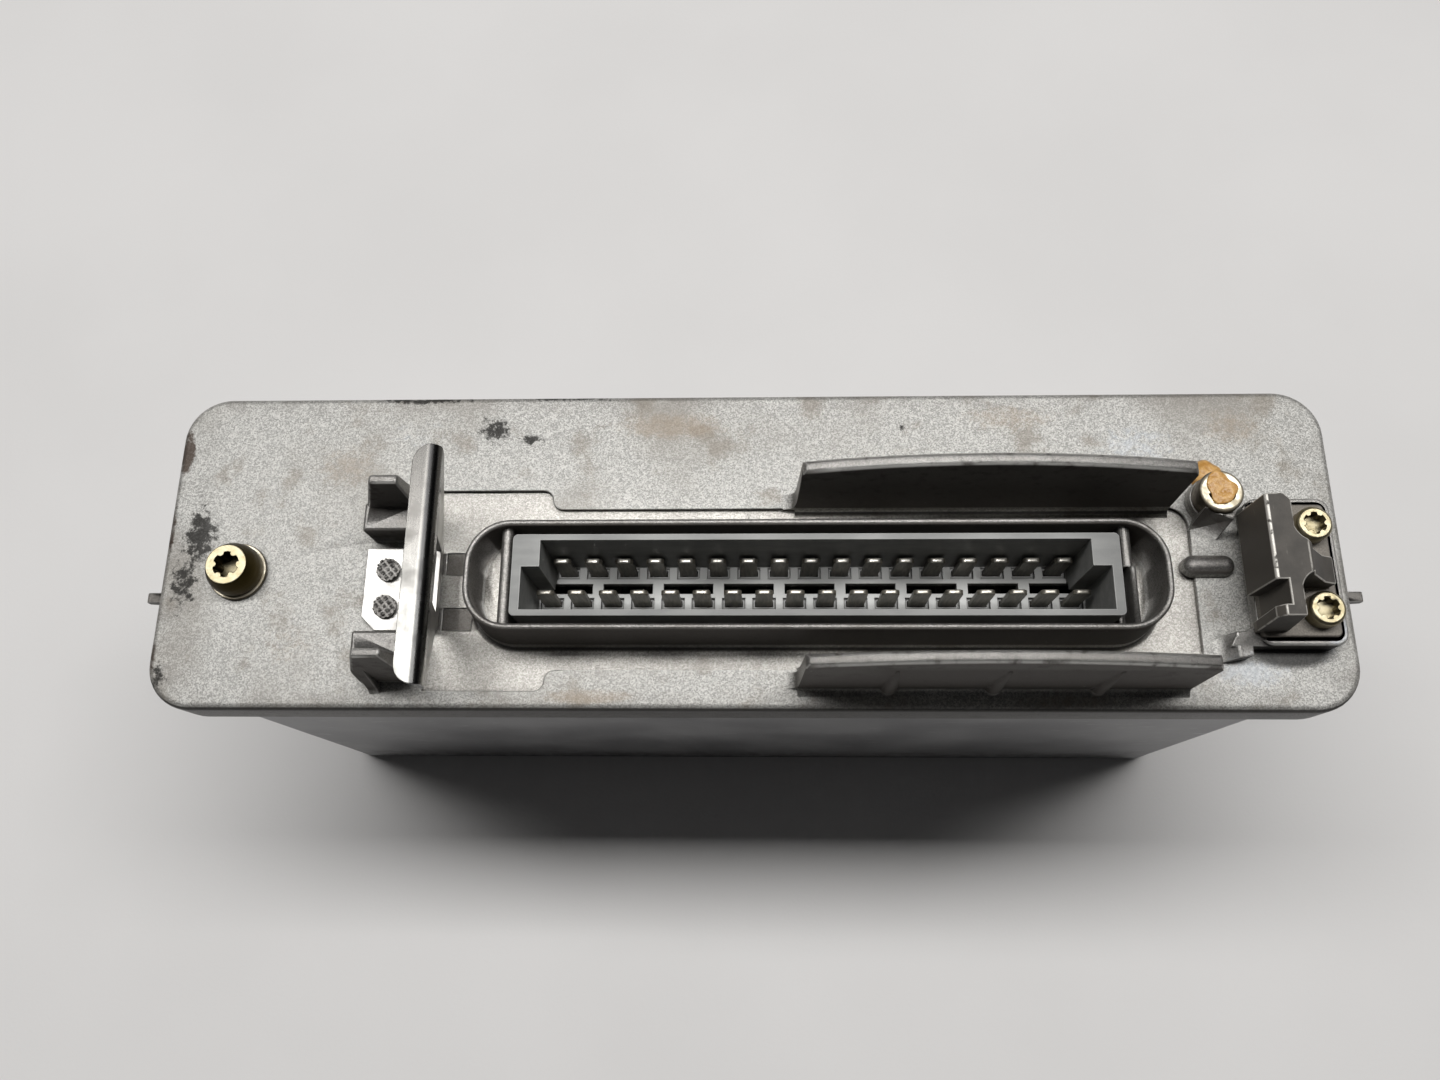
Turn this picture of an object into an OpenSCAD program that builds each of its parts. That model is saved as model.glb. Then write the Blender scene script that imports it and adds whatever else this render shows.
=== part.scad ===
// Engine control unit: a cast end plate with a two-row socket closes a drawn can that holds two boards.
// The unit stands on the closed end of the can with the socket facing up.
// Origin: middle of the closed end. X runs along the width, Y from front to rear, Z up. Millimetres.

/* [Housing] */
// Room for the bolt and the latch between the left edge of the plate and the collar
left_room = 52.3; // [48:0.1:60]
// Room for the hook between the collar and the right edge of the plate
right_room = 30.7; // [29:0.1:36]
// Depth of the end plate
plate_d = 53.2; // [51:0.2:60]
// Corner radius of the end plate
plate_r = 7.5; // [6:0.5:10]
// Thickness of the end plate
plate_t = 3; // [2.5:0.1:4]
// Rounding of the upper edge of the end plate
edge_r = 1.2; // [0.4:0.1:1.8]
// Height of the skirt, face included
skirt_h = 8; // [6:0.5:12]
// Wall of the skirt
skirt_wall = 2; // [1.5:0.1:2.4]
// Width of the sealing bead between skirt and can
bead_t = 0.9; // [0.6:0.1:1.2]
// Distance of the bead from the lower edge of the skirt
bead_inset = 0.8; // [0.4:0.1:1.5]
// Height of the can
can_h = 88; // [80:1:110]
// Wall of the can
can_wall = 1.2; // [0.8:0.1:1.5]
// Rounding of the closed end of the can
can_edge_r = 2; // [1.5:0.1:2.4]
// Reach of the side pegs
peg_l = 4.4; // [2:0.1:6]
// Width of the side pegs
peg_w = 1.8; // [1.2:0.2:4]
// Height of the side pegs
peg_h = 2.6; // [2:0.1:5]

/* [Socket] */
// Offset of the socket from the middle of the plate along the depth
socket_y = -7.3; // [-8:0.1:-7]
// Shift of the recess towards the rear of the socket
recess_shift = 0.35; // [0:0.05:0.5]
// Depth of the recess around the socket
recess_t = 0.9; // [0.5:0.1:1.2]
// Width of the recess across its narrow part
recess_d = 26.6; // [25:0.2:27.4]
// Width of the recess across its wide part
recess_wide_d = 33.2; // [30:0.2:34]
// Length of the wide part of the recess beyond the end of the collar
recess_wide_out = 7.8; // [7:0.1:9]
// Length of the wide part of the recess beside the collar
recess_wide_in = 9.7; // [6:0.1:14]
// Reach of the recess beyond the right end of the collar
recess_out = 6.9; // [5:0.1:8]
// Distance of the ends of the collar from the header
collar_out = 7.3; // [6.6:0.1:9]
// Distance of the sides of the collar from the header
collar_side = 2.25; // [2:0.05:2.6]
// Corner radius of the collar
collar_r = 7; // [5:0.1:8]
// Height of the collar above the face
collar_h = 10; // [8:0.1:12]
// Wall of the collar at its rim
collar_wall = 1; // [0.8:0.05:1.2]
// Fillet at the foot of the collar
collar_foot = 1; // [0.6:0.1:1.4]
// Thickness of the cross ribs beside the header
rib_t = 1.8; // [1.2:0.1:2.2]
// Distance of the cross ribs below the rim of the header
rib_dip = 1; // [0.6:0.1:2]
// Distance of the outer contacts from the ends of the cavity
row_end = 0.8; // [0.6:0.1:1.4]
// Distance of the front row from the front wall of the cavity
front_room = 4.45; // [4:0.05:5]
// Distance of the rear row from the rear wall of the cavity
rear_room = 0.45; // [0.4:0.05:1]
// Wall of the header along its length
header_wall = 1; // [0.7:0.05:1.2]
// Wall of the header at its ends
header_end = 1.5; // [1.2:0.1:1.8]
// Distance of the rim of the header below the rim of the collar
header_dip = 0.6; // [0.2:0.1:1.5]
// Depth of the header below the plate
header_drop = 5; // [4.5:0.1:6]
// Play between the header and the plate
header_fit = 0.3; // [0.2:0.05:0.5]
// Reach of the holding flange of the header
flange_out = 2.6; // [1.5:0.1:3]
// Thickness of the holding flange of the header
flange_t = 2; // [1.5:0.1:2.5]
// Depth of the header from its rim to the bench
bench_depth = 15.4; // [14:0.1:16]
// Depth of the key blocks in the rear corners
key_d = 4.2; // [3.4:0.1:4.6]
// Length of the thin stretch of the right rib
slot_l = 9.8; // [6:0.1:11]
// Distance of that stretch from the rear of the header
slot_in = 5.1; // [4:0.1:6]
// Depth of the slot beside that stretch
slot_depth = 4; // [2:0.1:5]
// Height of that stretch above the rest of the rib
slot_up = 0.8; // [0.4:0.1:0.9]

/* [Contacts] */
// Number of contacts in the front row, one more than in the rear row
front_count = 18; // [14:1:20]
// Pitch of the contacts
pitch = 5; // [4.6:0.05:6]
// Width of a contact blade
tab_w = 2.8; // [2.2:0.1:3]
// Thickness of a contact blade
tab_t = 0.8; // [0.6:0.05:1]
// Height of the blades above the bench
tab_h = 7; // [5:0.1:9]
// Distance between the two rows
row_gap = 5.2; // [4.8:0.1:5.4]
// Width of a contact tail
tail_w = 1; // [0.8:0.05:1.2]
// Play of blades and tails in their holes
tab_fit = 0.1; // [0.05:0.05:0.2]

/* [Guard walls] */
// Reach of the guard walls beyond the right end of the collar
guard_out = 4; // [2:0.5:5]
// Start of the guard walls left of the middle of the socket
guard_start = 2.5; // [0:0.5:6]
// Height of the guard walls at the crown
guard_h = 19.6; // [16:0.2:24]
// Thickness of the guard walls at the top
guard_t = 2; // [1.4:0.1:2.4]
// Draft of each side of the guard walls
guard_draft = 0.35; // [0.1:0.05:0.5]
// Radius of the arched top
arch_r = 121; // [90:1:200]
// Spacing of the three gussets on the front wall
gusset_gap = 16; // [12:1:18]
// Height of the gussets
gusset_h = 14; // [8:0.5:15]
// Radius of the gussets at the foot
gusset_r = 1.6; // [0.8:0.1:1.8]
// Length of the tapered run-out at the left end of each guard wall
runout = 2; // [1:0.2:3]
// Fillet at the feet of the guard walls
guard_foot = 1.2; // [0.6:0.1:1.8]

/* [Latch] */
// Thickness of the latch sheet
sheet_t = 0.8; // [0.6:0.05:1]
// Distance from the collar to the foot of the latch
latch_gap = 5.6; // [5:0.1:6.5]
// Length of the riveted strip
strip_l = 12.7; // [12:0.1:14]
// Width of the riveted strip
strip_w = 13.6; // [12:0.1:15]
// Width of the latch at its lip
latch_w = 36.5; // [32:0.5:38]
// Height of the latch above the face
latch_h = 17.3; // [15:0.1:19]
// Lean of the latch towards the socket in degrees
latch_lean = 11; // [7:0.5:12]
// Inner radius of the lower bend
foot_bend = 1; // [0.6:0.1:1.4]
// Inner radius of the upper bend
lip_bend = 1; // [0.8:0.1:1.5]
// Length of the lip behind its bend
lip_l = 2.9; // [1.5:0.1:3.4]
// Rounding of the corners of the lip
lip_r = 3; // [2:0.1:3.2]
// How far the free edge of the lip is trimmed behind the foot
lip_back = 1.3; // [1:0.1:2]
// Width of the window in the latch
window_w = 10; // [8:0.5:11]
// Height of the window in the latch
window_h = 8; // [6:0.5:9]
// Diameter of the cast rivet heads
rivet_head = 3.7; // [3.4:0.1:4.4]
// Diameter of the cast rivet shanks
rivet_d = 2.4; // [2:0.1:2.8]
// Height of the cast rivet heads
rivet_h = 1; // [0.8:0.1:1.4]
// Spacing of the two rivets
rivet_gap = 6.1; // [5:0.1:7]
// Height of the latch towers
tower_h = 15.5; // [12:0.1:16]
// Height of the blocks beside the strip
block_h = 6.5; // [4:0.1:8]

/* [Hook] */
// Distance of the hook tray from the right edge of the plate
tray_in = 3; // [2:0.1:4]
// Width of the hook tray
tray_w = 13.2; // [13:0.1:13.8]
// Depth of the hook tray
tray_d = 23.6; // [23:0.1:25]
// Middle of the hook tray along the depth of the plate
tray_y = -5.2; // [-6:0.1:-4.8]
// Height of the rim of the hook tray
tray_h = 3.4; // [3:0.1:4]
// Width of the rim of the hook tray
tray_rim = 1; // [0.7:0.1:1.2]
// Depth of the tray inside its rim
tray_sink = 0.8; // [0.4:0.1:1.2]
// Thickness of the base of the hook block
hook_base = 1.4; // [1:0.1:2]
// Height of the hook block above the face
hook_h = 14.6; // [13.6:0.1:17]
// Reach of the nose over the tray edge
nose_out = 1.8; // [1:0.1:2]
// Length of the nose
nose_l = 13.2; // [12:0.1:13.6]
// Height of the underside of the nose above the face
nose_z = 4.2; // [4:0.1:6]
// Thickness of the upright of the hook block
web_t = 2; // [1.6:0.1:2.6]
// Spacing of the hook screws
hook_gap = 13.4; // [13:0.1:14]
// Distance of the hook screws from the right edge of the tray
hook_screw_in = 4.1; // [4:0.1:4.6]

/* [Screws] */
// Thread diameter of the hook screws
hook_screw_d = 3; // [2.5:0.1:3.2]
// Head diameter of the hook screws
hook_head_d = 5.5; // [5:0.1:6]
// Fillet between the web of the hook block and its arm
arm_fillet = 3.2; // [2:0.1:3.6]
// Half width of that arm
arm_half = 2.2; // [1.8:0.1:2.6]
// Distance of that arm in front of the middle of the tray
arm_shift = 0.8; // [0:0.1:1]
// Head height of the hook screws
hook_head_h = 2.6; // [2:0.1:3]
// Thread length of the hook screws
hook_screw_l = 5.5; // [4.4:0.1:6]
// Distance of the bolt from the left edge of the plate
bolt_in = 12.9; // [12.6:0.1:16]
// Place of the bolt along the depth of the plate
bolt_y = -4.3; // [-8:0.1:0]
// Thread diameter of the bolt
bolt_d = 5; // [4:0.1:6]
// Thread length of the bolt under its head
bolt_l = 10; // [8:0.5:10]
// Lower diameter of the bolt head
bolt_head_d = 8.6; // [8:0.1:9]
// Upper diameter of the bolt head
bolt_top_d = 6.5; // [6:0.1:7]
// Six-lobe drive of that bolt, across
bolt_drive = 4.1; // [3:0.1:4.4]
// Height of the bolt head
bolt_head_h = 4.2; // [4:0.1:6]
// Diameter of the washer
washer_d = 9.4; // [9:0.1:10]
// Thickness of the washer
washer_t = 0.8; // [0.5:0.1:1.2]
// Distance of the sealed screw from the right edge of the plate
seal_in = 20.3; // [20:0.1:21]
// Place of the sealed screw along the depth of the plate
seal_y = 7; // [6.8:0.1:7.6]
// Head diameter of the sealed screw
seal_head_d = 7; // [6.4:0.1:7.2]
// Six-lobe drive of the sealed screw, across
seal_drive = 4.2; // [3:0.1:4.4]
// Head height of the sealed screw
seal_head_h = 3.8; // [3:0.1:5]
// Thread diameter of the sealed screw
seal_d = 4; // [3:0.1:4.4]
// Thread length of the sealed screw under its head
seal_l = 9.5; // [9:0.1:10]
// Height of the boss under the sealed screw
boss_h = 2.2; // [1.6:0.1:3]
// Play of threads in plain holes
hole_fit = 0.2; // [0.1:0.05:0.4]

/* [Boards] */
// Thickness of the circuit boards
board_t = 1.6; // [1.2:0.1:2]
// Play between the boards and the chassis sides
board_gap = 2; // [1:0.5:4]
// Distance of the boards from the closed end of the can
board_z = 7; // [5:0.5:10]
// Distance of the upper edge of the boards from the plate
board_top = 6.5; // [6:0.1:8]
// Play between the chassis and the can
chassis_gap = 1; // [0.6:0.1:2]
// Thickness of the chassis sheet
chassis_t = 2; // [1.5:0.1:2.5]
// Distance of the main board from the rear wall of the chassis
main_gap = 9.9; // [9:0.1:11]
// Distance of the signal board from the front wall of the can
signal_gap = 3.5; // [3.2:0.1:5]
// Height of the threaded collars of the chassis
collar_nut_h = 3; // [2:0.1:3.2]
// Width of the lugs that carry the boards
lug_w = 8; // [7:0.5:10]
// Height of the lugs that carry the boards
lug_h = 9; // [7:0.5:12]
// Thread diameter of the board screws
board_screw_d = 3; // [2.5:0.1:3.5]
// Number of power transistors
transistor_count = 5; // [3:1:6]
// Spacing of the power transistors
transistor_gap = 14; // [12:0.5:16]
// Thickness of the insulating foil
foil_t = 0.4; // [0.2:0.05:0.6]
// Number of link pins
link_count = 16; // [8:1:24]
// Spacing of the link pins
link_gap = 2.54; // [2:0.01:3]
// Width of the link strip
link_w = 2.6; // [2.2:0.1:3]
// Height of the link strip
link_h = 3; // [2:0.1:4]
// Side of the link pins
pin_t = 0.7; // [0.5:0.05:0.8]
// Diameter of the capacitors
cap_d = 10; // [8:0.5:12]
// Height of the capacitors
cap_h = 14; // [10:0.5:16]
// Width of a transistor body
body_w = 10; // [8:0.5:11]
// Thickness of a transistor body
body_t = 4.4; // [4:0.1:5]
// Height of a transistor body
body_h = 9; // [8:0.5:10]
// Height of the cooling tab of a transistor
fin_h = 6.5; // [5:0.5:7]
// Thickness of the cooling tab of a transistor
fin_t = 1.3; // [1:0.1:1.6]
// Thickness of the spring clip
spring_t = 0.8; // [0.6:0.1:1]
// Length of a driver chip
chip_l = 18; // [14:0.5:20]
// Width of a driver chip
chip_w = 7; // [5:0.5:8]
// Height of a driver chip
chip_t = 3; // [2:0.5:4]
// Side of the processor
cpu_w = 24; // [20:0.5:28]
// Height of the processor
cpu_t = 4; // [3:0.1:5]
// Length of the memory chip and its socket
mem_l = 37; // [30:0.5:40]
// Width of the memory socket
mem_w = 15; // [13:0.5:17]
// Height of the memory socket and of the chip on it
mem_t = 4; // [3:0.1:5]
// Diameter of the choke over its core
choke_d = 11; // [9:0.5:13]
// Thickness of the winding of the choke
choke_t = 6; // [4:0.5:7]
// Length of the crystal
crystal_l = 11; // [9:0.5:13]
// Width of the crystal
crystal_w = 4.6; // [4:0.1:5]
// Height of the crystal
crystal_t = 3.6; // [3:0.1:4]
// Diameter of the resistors
res_d = 2.6; // [2:0.1:3]
// Length of the resistors
res_l = 7; // [5:0.5:9]

/* [Hidden] */
$fn = 40;
eps = 0.01;

// Colours as the photo shows them, and plain ones for what is inside
cast_grey = [0.56, 0.55, 0.53];
can_grey = [0.40, 0.39, 0.38];
header_grey = [0.44, 0.45, 0.45];
tab_brown = [0.40, 0.38, 0.34];
latch_steel = [0.80, 0.78, 0.74];
hook_dark = [0.25, 0.25, 0.26];
zinc_yellow = [0.66, 0.58, 0.34];
seal_orange = [0.82, 0.58, 0.25];
board_green = [0.16, 0.34, 0.20];
part_black = [0.10, 0.10, 0.11];
tin_silver = [0.72, 0.72, 0.70];

// Housing
cavity_w = (front_count - 1) * pitch + tab_w + 2 * row_end;
cavity_d = front_room + row_gap + tab_t + rear_room;
header_w = cavity_w + 2 * header_end;
header_d = cavity_d + 2 * header_wall;
collar_w = header_w + 2 * collar_out;
collar_d = header_d + 2 * collar_side;
plate_w = left_room + collar_w + right_room;
socket_x = (left_room - right_room) / 2;
overhang = skirt_wall + bead_t;
face_z = can_h + plate_t;
can_w = plate_w - 2 * overhang;
can_d = plate_d - 2 * overhang;
can_r = plate_r - overhang;
under_z = -plate_t;

// Socket
collar_left = socket_x - collar_w / 2;
collar_right = socket_x + collar_w / 2;
floor_z = -recess_t;
header_top = collar_h - header_dip;
header_bottom = under_z - header_drop;
bench_z = header_top - bench_depth;
tip_z = bench_z + tab_h;
rear_row_y = socket_y + cavity_d / 2 - rear_room - tab_t / 2;
front_row_y = rear_row_y - row_gap;
key_w = row_end + pitch / 2 - tab_fit - 0.4;
rib_top = header_top - rib_dip;

// Guard walls
guard_x0 = socket_x - guard_start;
guard_l = collar_right + guard_out - guard_x0;
guard_in = recess_d / 2;

// Latch
foot_x = collar_left - latch_gap;
strip_x0 = foot_x - strip_l;
rivet_x = strip_x0 + rivet_head / 2 + 2;
lip_turn = 90 + latch_lean + 6;
wall_l = (latch_h - sheet_t - foot_bend - lip_bend) / cos(latch_lean) - 0.4;
block_in = strip_w / 2 + 1.25;
tower_in = latch_w / 2 - 6.5;

// Hook
tray_x1 = plate_w / 2 - tray_in;
tray_x0 = tray_x1 - tray_w;
tray_floor = tray_h - tray_sink;
nose_x = tray_x0 - nose_out;
web_x0 = tray_x0;
web_x1 = web_x0 + web_t;
hook_screw_x = tray_x1 - hook_screw_in;
hook_seat = tray_floor + hook_base;
nose_y1 = tray_y + tray_d / 2 - 3;
nose_y0 = nose_y1 - nose_l;
web_y0 = tray_y - tray_d / 2 + 2;

// Screws
bolt_x = -plate_w / 2 + bolt_in;
seal_x = plate_w / 2 - seal_in;

// Boards and chassis
in_w = can_w - 2 * can_wall;
in_d = can_d - 2 * can_wall;
chassis_w = in_w - 2 * chassis_gap;
chassis_r = can_r - can_wall;
chassis_back = in_d / 2 - chassis_gap;
chassis_face = chassis_back - chassis_t;
chassis_bottom = board_z - 3;
chassis_top = can_h;
board_w = chassis_w - 2 * chassis_t - 2 * board_gap;
board_z1 = can_h - board_top;
board_h = board_z1 - board_z;
main_y1 = chassis_face - main_gap;
main_y0 = main_y1 - board_t;
signal_y0 = -in_d / 2 + signal_gap;
signal_y1 = signal_y0 + board_t;
rear_tail_z = can_h + plate_t + header_bottom - 3.6;
front_tail_z = rear_tail_z - 3;
lug_zs = [board_z + lug_h / 2 + 6, board_z1 - lug_h / 2 - 8];
lug_x = chassis_w / 2 - chassis_t - board_gap - lug_w / 2;
transistor_z = board_z + 24;
link_z = board_z + 5;

// Flat outline with rounded corners, centred
module rounded_rect(w, d, r) {
    square([w - 2 * r, d], center = true);
    square([w, d - 2 * r], center = true);
    for (sx = [-1, 1], sy = [-1, 1])
        translate([sx * (w / 2 - r), sy * (d / 2 - r)]) circle(r);
}

// Block with rounded upright edges, standing on the origin
module rounded_block(w, d, r, h) {
    linear_extrude(h) rounded_rect(w, d, r);
}

// Outline around a rounded rectangle: the drawn section has its X from the corner axis outward
module swept_ring(w, d, r) {
    for (k = [0:3]) {
        long = k % 2 == 0 ? w : d;
        wide = k % 2 == 0 ? d : w;
        rotate(90 * k) translate([long / 2 - r, 0, 0]) rotate([90, 0, 0])
            linear_extrude(wide - 2 * r, center = true) children();
        rotate(90 * k) translate([long / 2 - r, wide / 2 - r, 0]) rotate_extrude(angle = 90) children();
    }
}

// Section of a solid edge with its upper corner rounded
module round_top_section(r, h, er) {
    square([r, h - er]);
    square([r - er, h]);
    translate([r - er, h - er]) circle(er);
}

// Solid slab with upright edges and upper edge rounded
module soft_slab(w, d, r, h, er) {
    swept_ring(w, d, r) round_top_section(r, h, er);
    translate([-w / 2 + r, -d / 2 + r, 0]) cube([w - 2 * r, d - 2 * r, h]);
}

// Six-lobe drive recess, measured across its lobes
module six_lobe(d, depth) {
    translate([0, 0, -depth]) linear_extrude(depth + 1) difference() {
        circle(d / 2);
        for (a = [0:60:300]) rotate(a) translate([d * 0.52, 0]) circle(d * 0.14);
    }
}

// Section along X and Z drawn flat, given a length along Y
module along_y(y0, y1) {
    translate([0, y1, 0]) rotate([90, 0, 0]) linear_extrude(y1 - y0) children();
}

// Section along Y and Z drawn flat, given a length along X
module along_x(x0, x1) {
    translate([x0, 0, 0]) rotate([90, 0, 90]) linear_extrude(x1 - x0) children();
}

// Places for the contacts of one row
module row_places(count, y) {
    for (i = [0:count - 1]) translate([socket_x + (i - (count - 1) / 2) * pitch, y, 0]) children();
}

// Skirted plate with rounded edge
module plate_shell() {
    difference() {
        translate([0, 0, -skirt_h]) soft_slab(plate_w, plate_d, plate_r, skirt_h, edge_r);
        translate([0, 0, -skirt_h - 1])
            rounded_block(plate_w - 2 * skirt_wall, plate_d - 2 * skirt_wall, plate_r - skirt_wall,
                skirt_h - plate_t + 1);
    }
}

// Sunken field around the socket: a wide part at the latch, then a narrow part
module recess_outline() {
    x0 = collar_left - recess_wide_out;
    x1 = collar_left + recess_wide_in;
    x2 = collar_right + recess_out;
    step = (recess_wide_d - recess_d) / 2;
    r = step / 2;
    translate([0, socket_y + recess_shift]) {
        translate([x0, -recess_wide_d / 2]) square([x1 - x0, recess_wide_d]);
        translate([(x0 + x1 + r) / 2, 0]) rounded_rect(x1 + r - x0, recess_wide_d, r);
        for (s = [-1, 1]) translate([x1 + r - eps, s > 0 ? recess_d / 2 - eps : -recess_d / 2 - r]) difference() {
            square([r + eps, r + eps]);
            translate([r + eps, s > 0 ? r + eps : 0]) circle(r);
        }
        translate([(x1 + x2) / 2, 0]) rounded_rect(x2 - x1, recess_d, step);
        translate([x1, -recess_d / 2]) square([step * 2, recess_d]);
    }
}

// Section of the collar: rounded rim, drafted outside and a fillet at the foot
module collar_section() {
    h = collar_h - floor_z;
    rim = collar_wall / 2;
    in_x = collar_r - collar_wall;
    square([collar_r, h - rim]);
    translate([in_x + rim, h - rim]) circle(rim);
    polygon([[in_x, 0], [collar_r + collar_foot / 2, 0], [collar_r + collar_foot / 2, collar_foot],
        [collar_r, h - rim], [in_x, h - rim]]);
    difference() {
        translate([in_x, 0]) square([collar_wall + 1.5 * collar_foot, collar_foot]);
        translate([collar_r + 1.5 * collar_foot, collar_foot]) circle(collar_foot);
    }
}

module collar() {
    translate([socket_x, socket_y, floor_z]) swept_ring(collar_w, collar_d, collar_r)
        intersection() {
            collar_section();
            translate([collar_r - collar_wall, 0]) square([collar_wall + 2 * collar_foot, collar_h - floor_z]);
        }
}

// Cross ribs with round backs between the header and the ends of the collar
module trough_ribs() {
    y = collar_d / 2 - collar_wall / 2;
    r = rib_t / 2;
    slot_y1 = header_d / 2 - slot_in;
    for (s = [-1, 1]) translate([socket_x + s * (header_w / 2 + header_fit + r), socket_y, 0]) difference() {
        along_y(-y, y) {
            translate([-r, floor_z]) square([rib_t, rib_top - r - floor_z]);
            translate([0, rib_top - r]) circle(r);
        }
        if (s > 0) translate([-2 * r, slot_y1 - slot_l, rib_top - slot_depth]) cube([2 * r, slot_l, slot_depth + 1]);
    }
    translate([socket_x + header_w / 2 + header_fit + r, socket_y, 0]) along_y(slot_y1 - slot_l, slot_y1) {
        translate([0, floor_z]) square([r, rib_top + slot_up - r / 2 - floor_z]);
        translate([r / 2, rib_top + slot_up - r / 2]) circle(r / 2);
    }
}

// One guard wall standing on the plate, drafted on both sides and arched on top
module guard_wall() {
    draft = guard_draft;
    foot = guard_foot;
    wide = guard_t + 2 * draft;
    intersection() {
        along_x(guard_x0, guard_x0 + guard_l) {
            polygon([[0, floor_z], [wide, floor_z], [guard_t + draft, guard_h], [draft, guard_h]]);
            for (p = [[0, floor_z], [wide, 0]]) translate(p) difference() {
                translate([-foot, -eps]) square([2 * foot, foot]);
                for (s = [-1, 1]) translate([s * foot, foot]) circle(foot);
            }
        }
        translate([guard_x0 + guard_l / 2 - 1, -2 * foot, guard_h - arch_r]) rotate([-90, 0, 0])
            cylinder(r = arch_r, h = wide + 4 * foot, $fn = 160);
        along_y(-2 * foot, wide + 2 * foot) polygon([[guard_x0, floor_z], [guard_x0 + guard_l, floor_z],
            [guard_x0 + guard_l - 0.7, guard_h], [guard_x0 + 1, guard_h]]);
    }
}

module guard_walls() {
    translate([0, socket_y + guard_in, 0]) guard_wall();
    translate([0, socket_y - guard_in, 0]) mirror([0, 1, 0]) guard_wall();
    outer = socket_y - guard_in - guard_t - 2 * guard_draft;
    half = guard_t / 2 + guard_draft;
    for (s = [-1, 1]) translate([guard_x0, socket_y + s * (guard_in + half), 0])
        along_y(-half * 0.9, half * 0.9) polygon([[-runout, -eps], [1, -eps], [1, runout * 1.6],
            [0.2, runout * 1.6], [-runout * 0.05, runout * 0.7], [-runout * 0.35, runout * 0.25]]);
    for (i = [0:2]) {
        x = guard_x0 + guard_l / 2 + (i - 1) * gusset_gap;
        translate([x, outer + gusset_r * 0.4, -eps]) cylinder(r1 = gusset_r, r2 = gusset_r * 0.3, h = gusset_h);
    }
}

// Tower and block on the rear side of the latch; the front side is its mirror image
module latch_tower() {
    in = block_in;
    out = latch_w / 2 - 3.2;
    translate([foot_x - 11.9, in, -eps]) cube([8.7, tower_in - in + 1, block_h + eps]);
    intersection() {
        along_x(foot_x - 14, foot_x - 2) polygon([[tower_in - 0.4, -eps], [out, -eps],
            [out - 0.9, tower_h], [tower_in + 0.9, tower_h]]);
        along_y(tower_in - 2, out + 1) polygon([[foot_x - 12, -eps], [foot_x - 3.2, -eps],
            [foot_x - 4, tower_h], [foot_x - 8.4, tower_h], [foot_x - 11.4, block_h]]);
    }
    along_x(foot_x - 10.4, foot_x - 8.8) polygon([[out - 1, -eps], [out + 1.8, -eps],
        [out + 1.2, 1.5], [out - 0.7, tower_h * 0.6]]);
}

// Cast rivet with a waffle-pressed head
module cast_rivet() {
    top = sheet_t + rivet_h;
    translate([0, 0, -eps]) cylinder(d = rivet_d, h = sheet_t + 2 * eps);
    difference() {
        translate([0, 0, sheet_t]) cylinder(d = rivet_head, h = rivet_h);
        for (a = [40, 130], i = [-1.5:1:1.5]) rotate(a)
            translate([i * rivet_head / 4 - 0.2, -rivet_head, top - 0.3]) cube([0.4, 2 * rivet_head, 1]);
    }
}

// Raised tray with a rim that carries the hook block
module hook_tray() {
    yc = tray_y;
    translate([(tray_x0 + tray_x1) / 2, yc, -eps]) difference() {
        rounded_block(tray_w, tray_d, 2, tray_h + eps);
        translate([-tray_rim, 0, tray_floor + eps])
            rounded_block(tray_w, tray_d - 2 * tray_rim, 1.2, tray_sink + 1);
    }
    translate([tray_x0, yc - tray_d / 2, 0]) {
        translate([0, 0, floor_z]) linear_extrude(tray_floor - floor_z)
            polygon([[-4.4, 0], [2, 0], [2, 3.2], [-0.8, 3], [-3.6, 1.6]]);
        intersection() {
            along_y(-3, 3) polygon([[-8, floor_z - eps], [-1, floor_z - eps], [-1, tray_floor],
                [-3.2, tray_floor], [-5, tray_floor * 0.3]]);
            translate([0, 0, floor_z - eps]) linear_extrude(tray_h + 2)
                polygon([[-8, -2.6], [-1, -1.4], [-1, 2.4], [-3.2, 2.4], [-5.4, 1.9], [-7.2, 1]]);
        }
    }
}

// Half-round rib on the floor of the recess, pointing under the nose
module pill_rib() {
    d = 3.4;
    run = nose_x - collar_right;
    x0 = collar_right + run * 0.52;
    x1 = nose_x - run * 0.11;
    y = nose_y0 + nose_l * 0.45;
    translate([x0, y, floor_z + 1.3]) rotate([0, 90, 0]) cylinder(d = d, h = x1 - x0);
    for (x = [x0, x1]) translate([x, y, floor_z + 1.3]) sphere(d = d);
    translate([x0, y - d / 2, floor_z - eps]) cube([x1 - x0, d, 1.3 + eps]);
    for (x = [x0, x1]) translate([x, y, floor_z - eps]) cylinder(d = d, h = 1.3 + eps);
}

// Shield in front of the sealed screw, turned towards the hook
module screw_shield() {
    difference() {
        translate([seal_x, seal_y, 0]) rotate(-25) along_x(-1.4, 3.2)
            polygon([[-seal_head_d / 2 - 2.3, floor_z - eps], [-seal_head_d / 2 + 1, floor_z - eps],
                [-seal_head_d / 2 + 1, boss_h + seal_head_h - 0.3],
                [-seal_head_d / 2 - 0.1, boss_h + seal_head_h - 0.3]]);
        translate([seal_x, seal_y, boss_h]) cylinder(d = seal_head_d + 2 * hole_fit, h = seal_head_h + 1);
    }
}

// Side peg on the skirt
module side_peg() {
    z0 = -skirt_h + 0.6;
    translate([plate_w / 2 - 0.5, socket_y - peg_w / 2, 0]) rotate([90, 0, 0]) mirror([0, 0, 1])
        linear_extrude(peg_w) polygon([[0, z0], [0.5, z0], [peg_l + 0.5, z0 + peg_h * 0.55],
            [peg_l + 0.5, z0 + peg_h], [0, z0 + peg_h]]);
}

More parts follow.
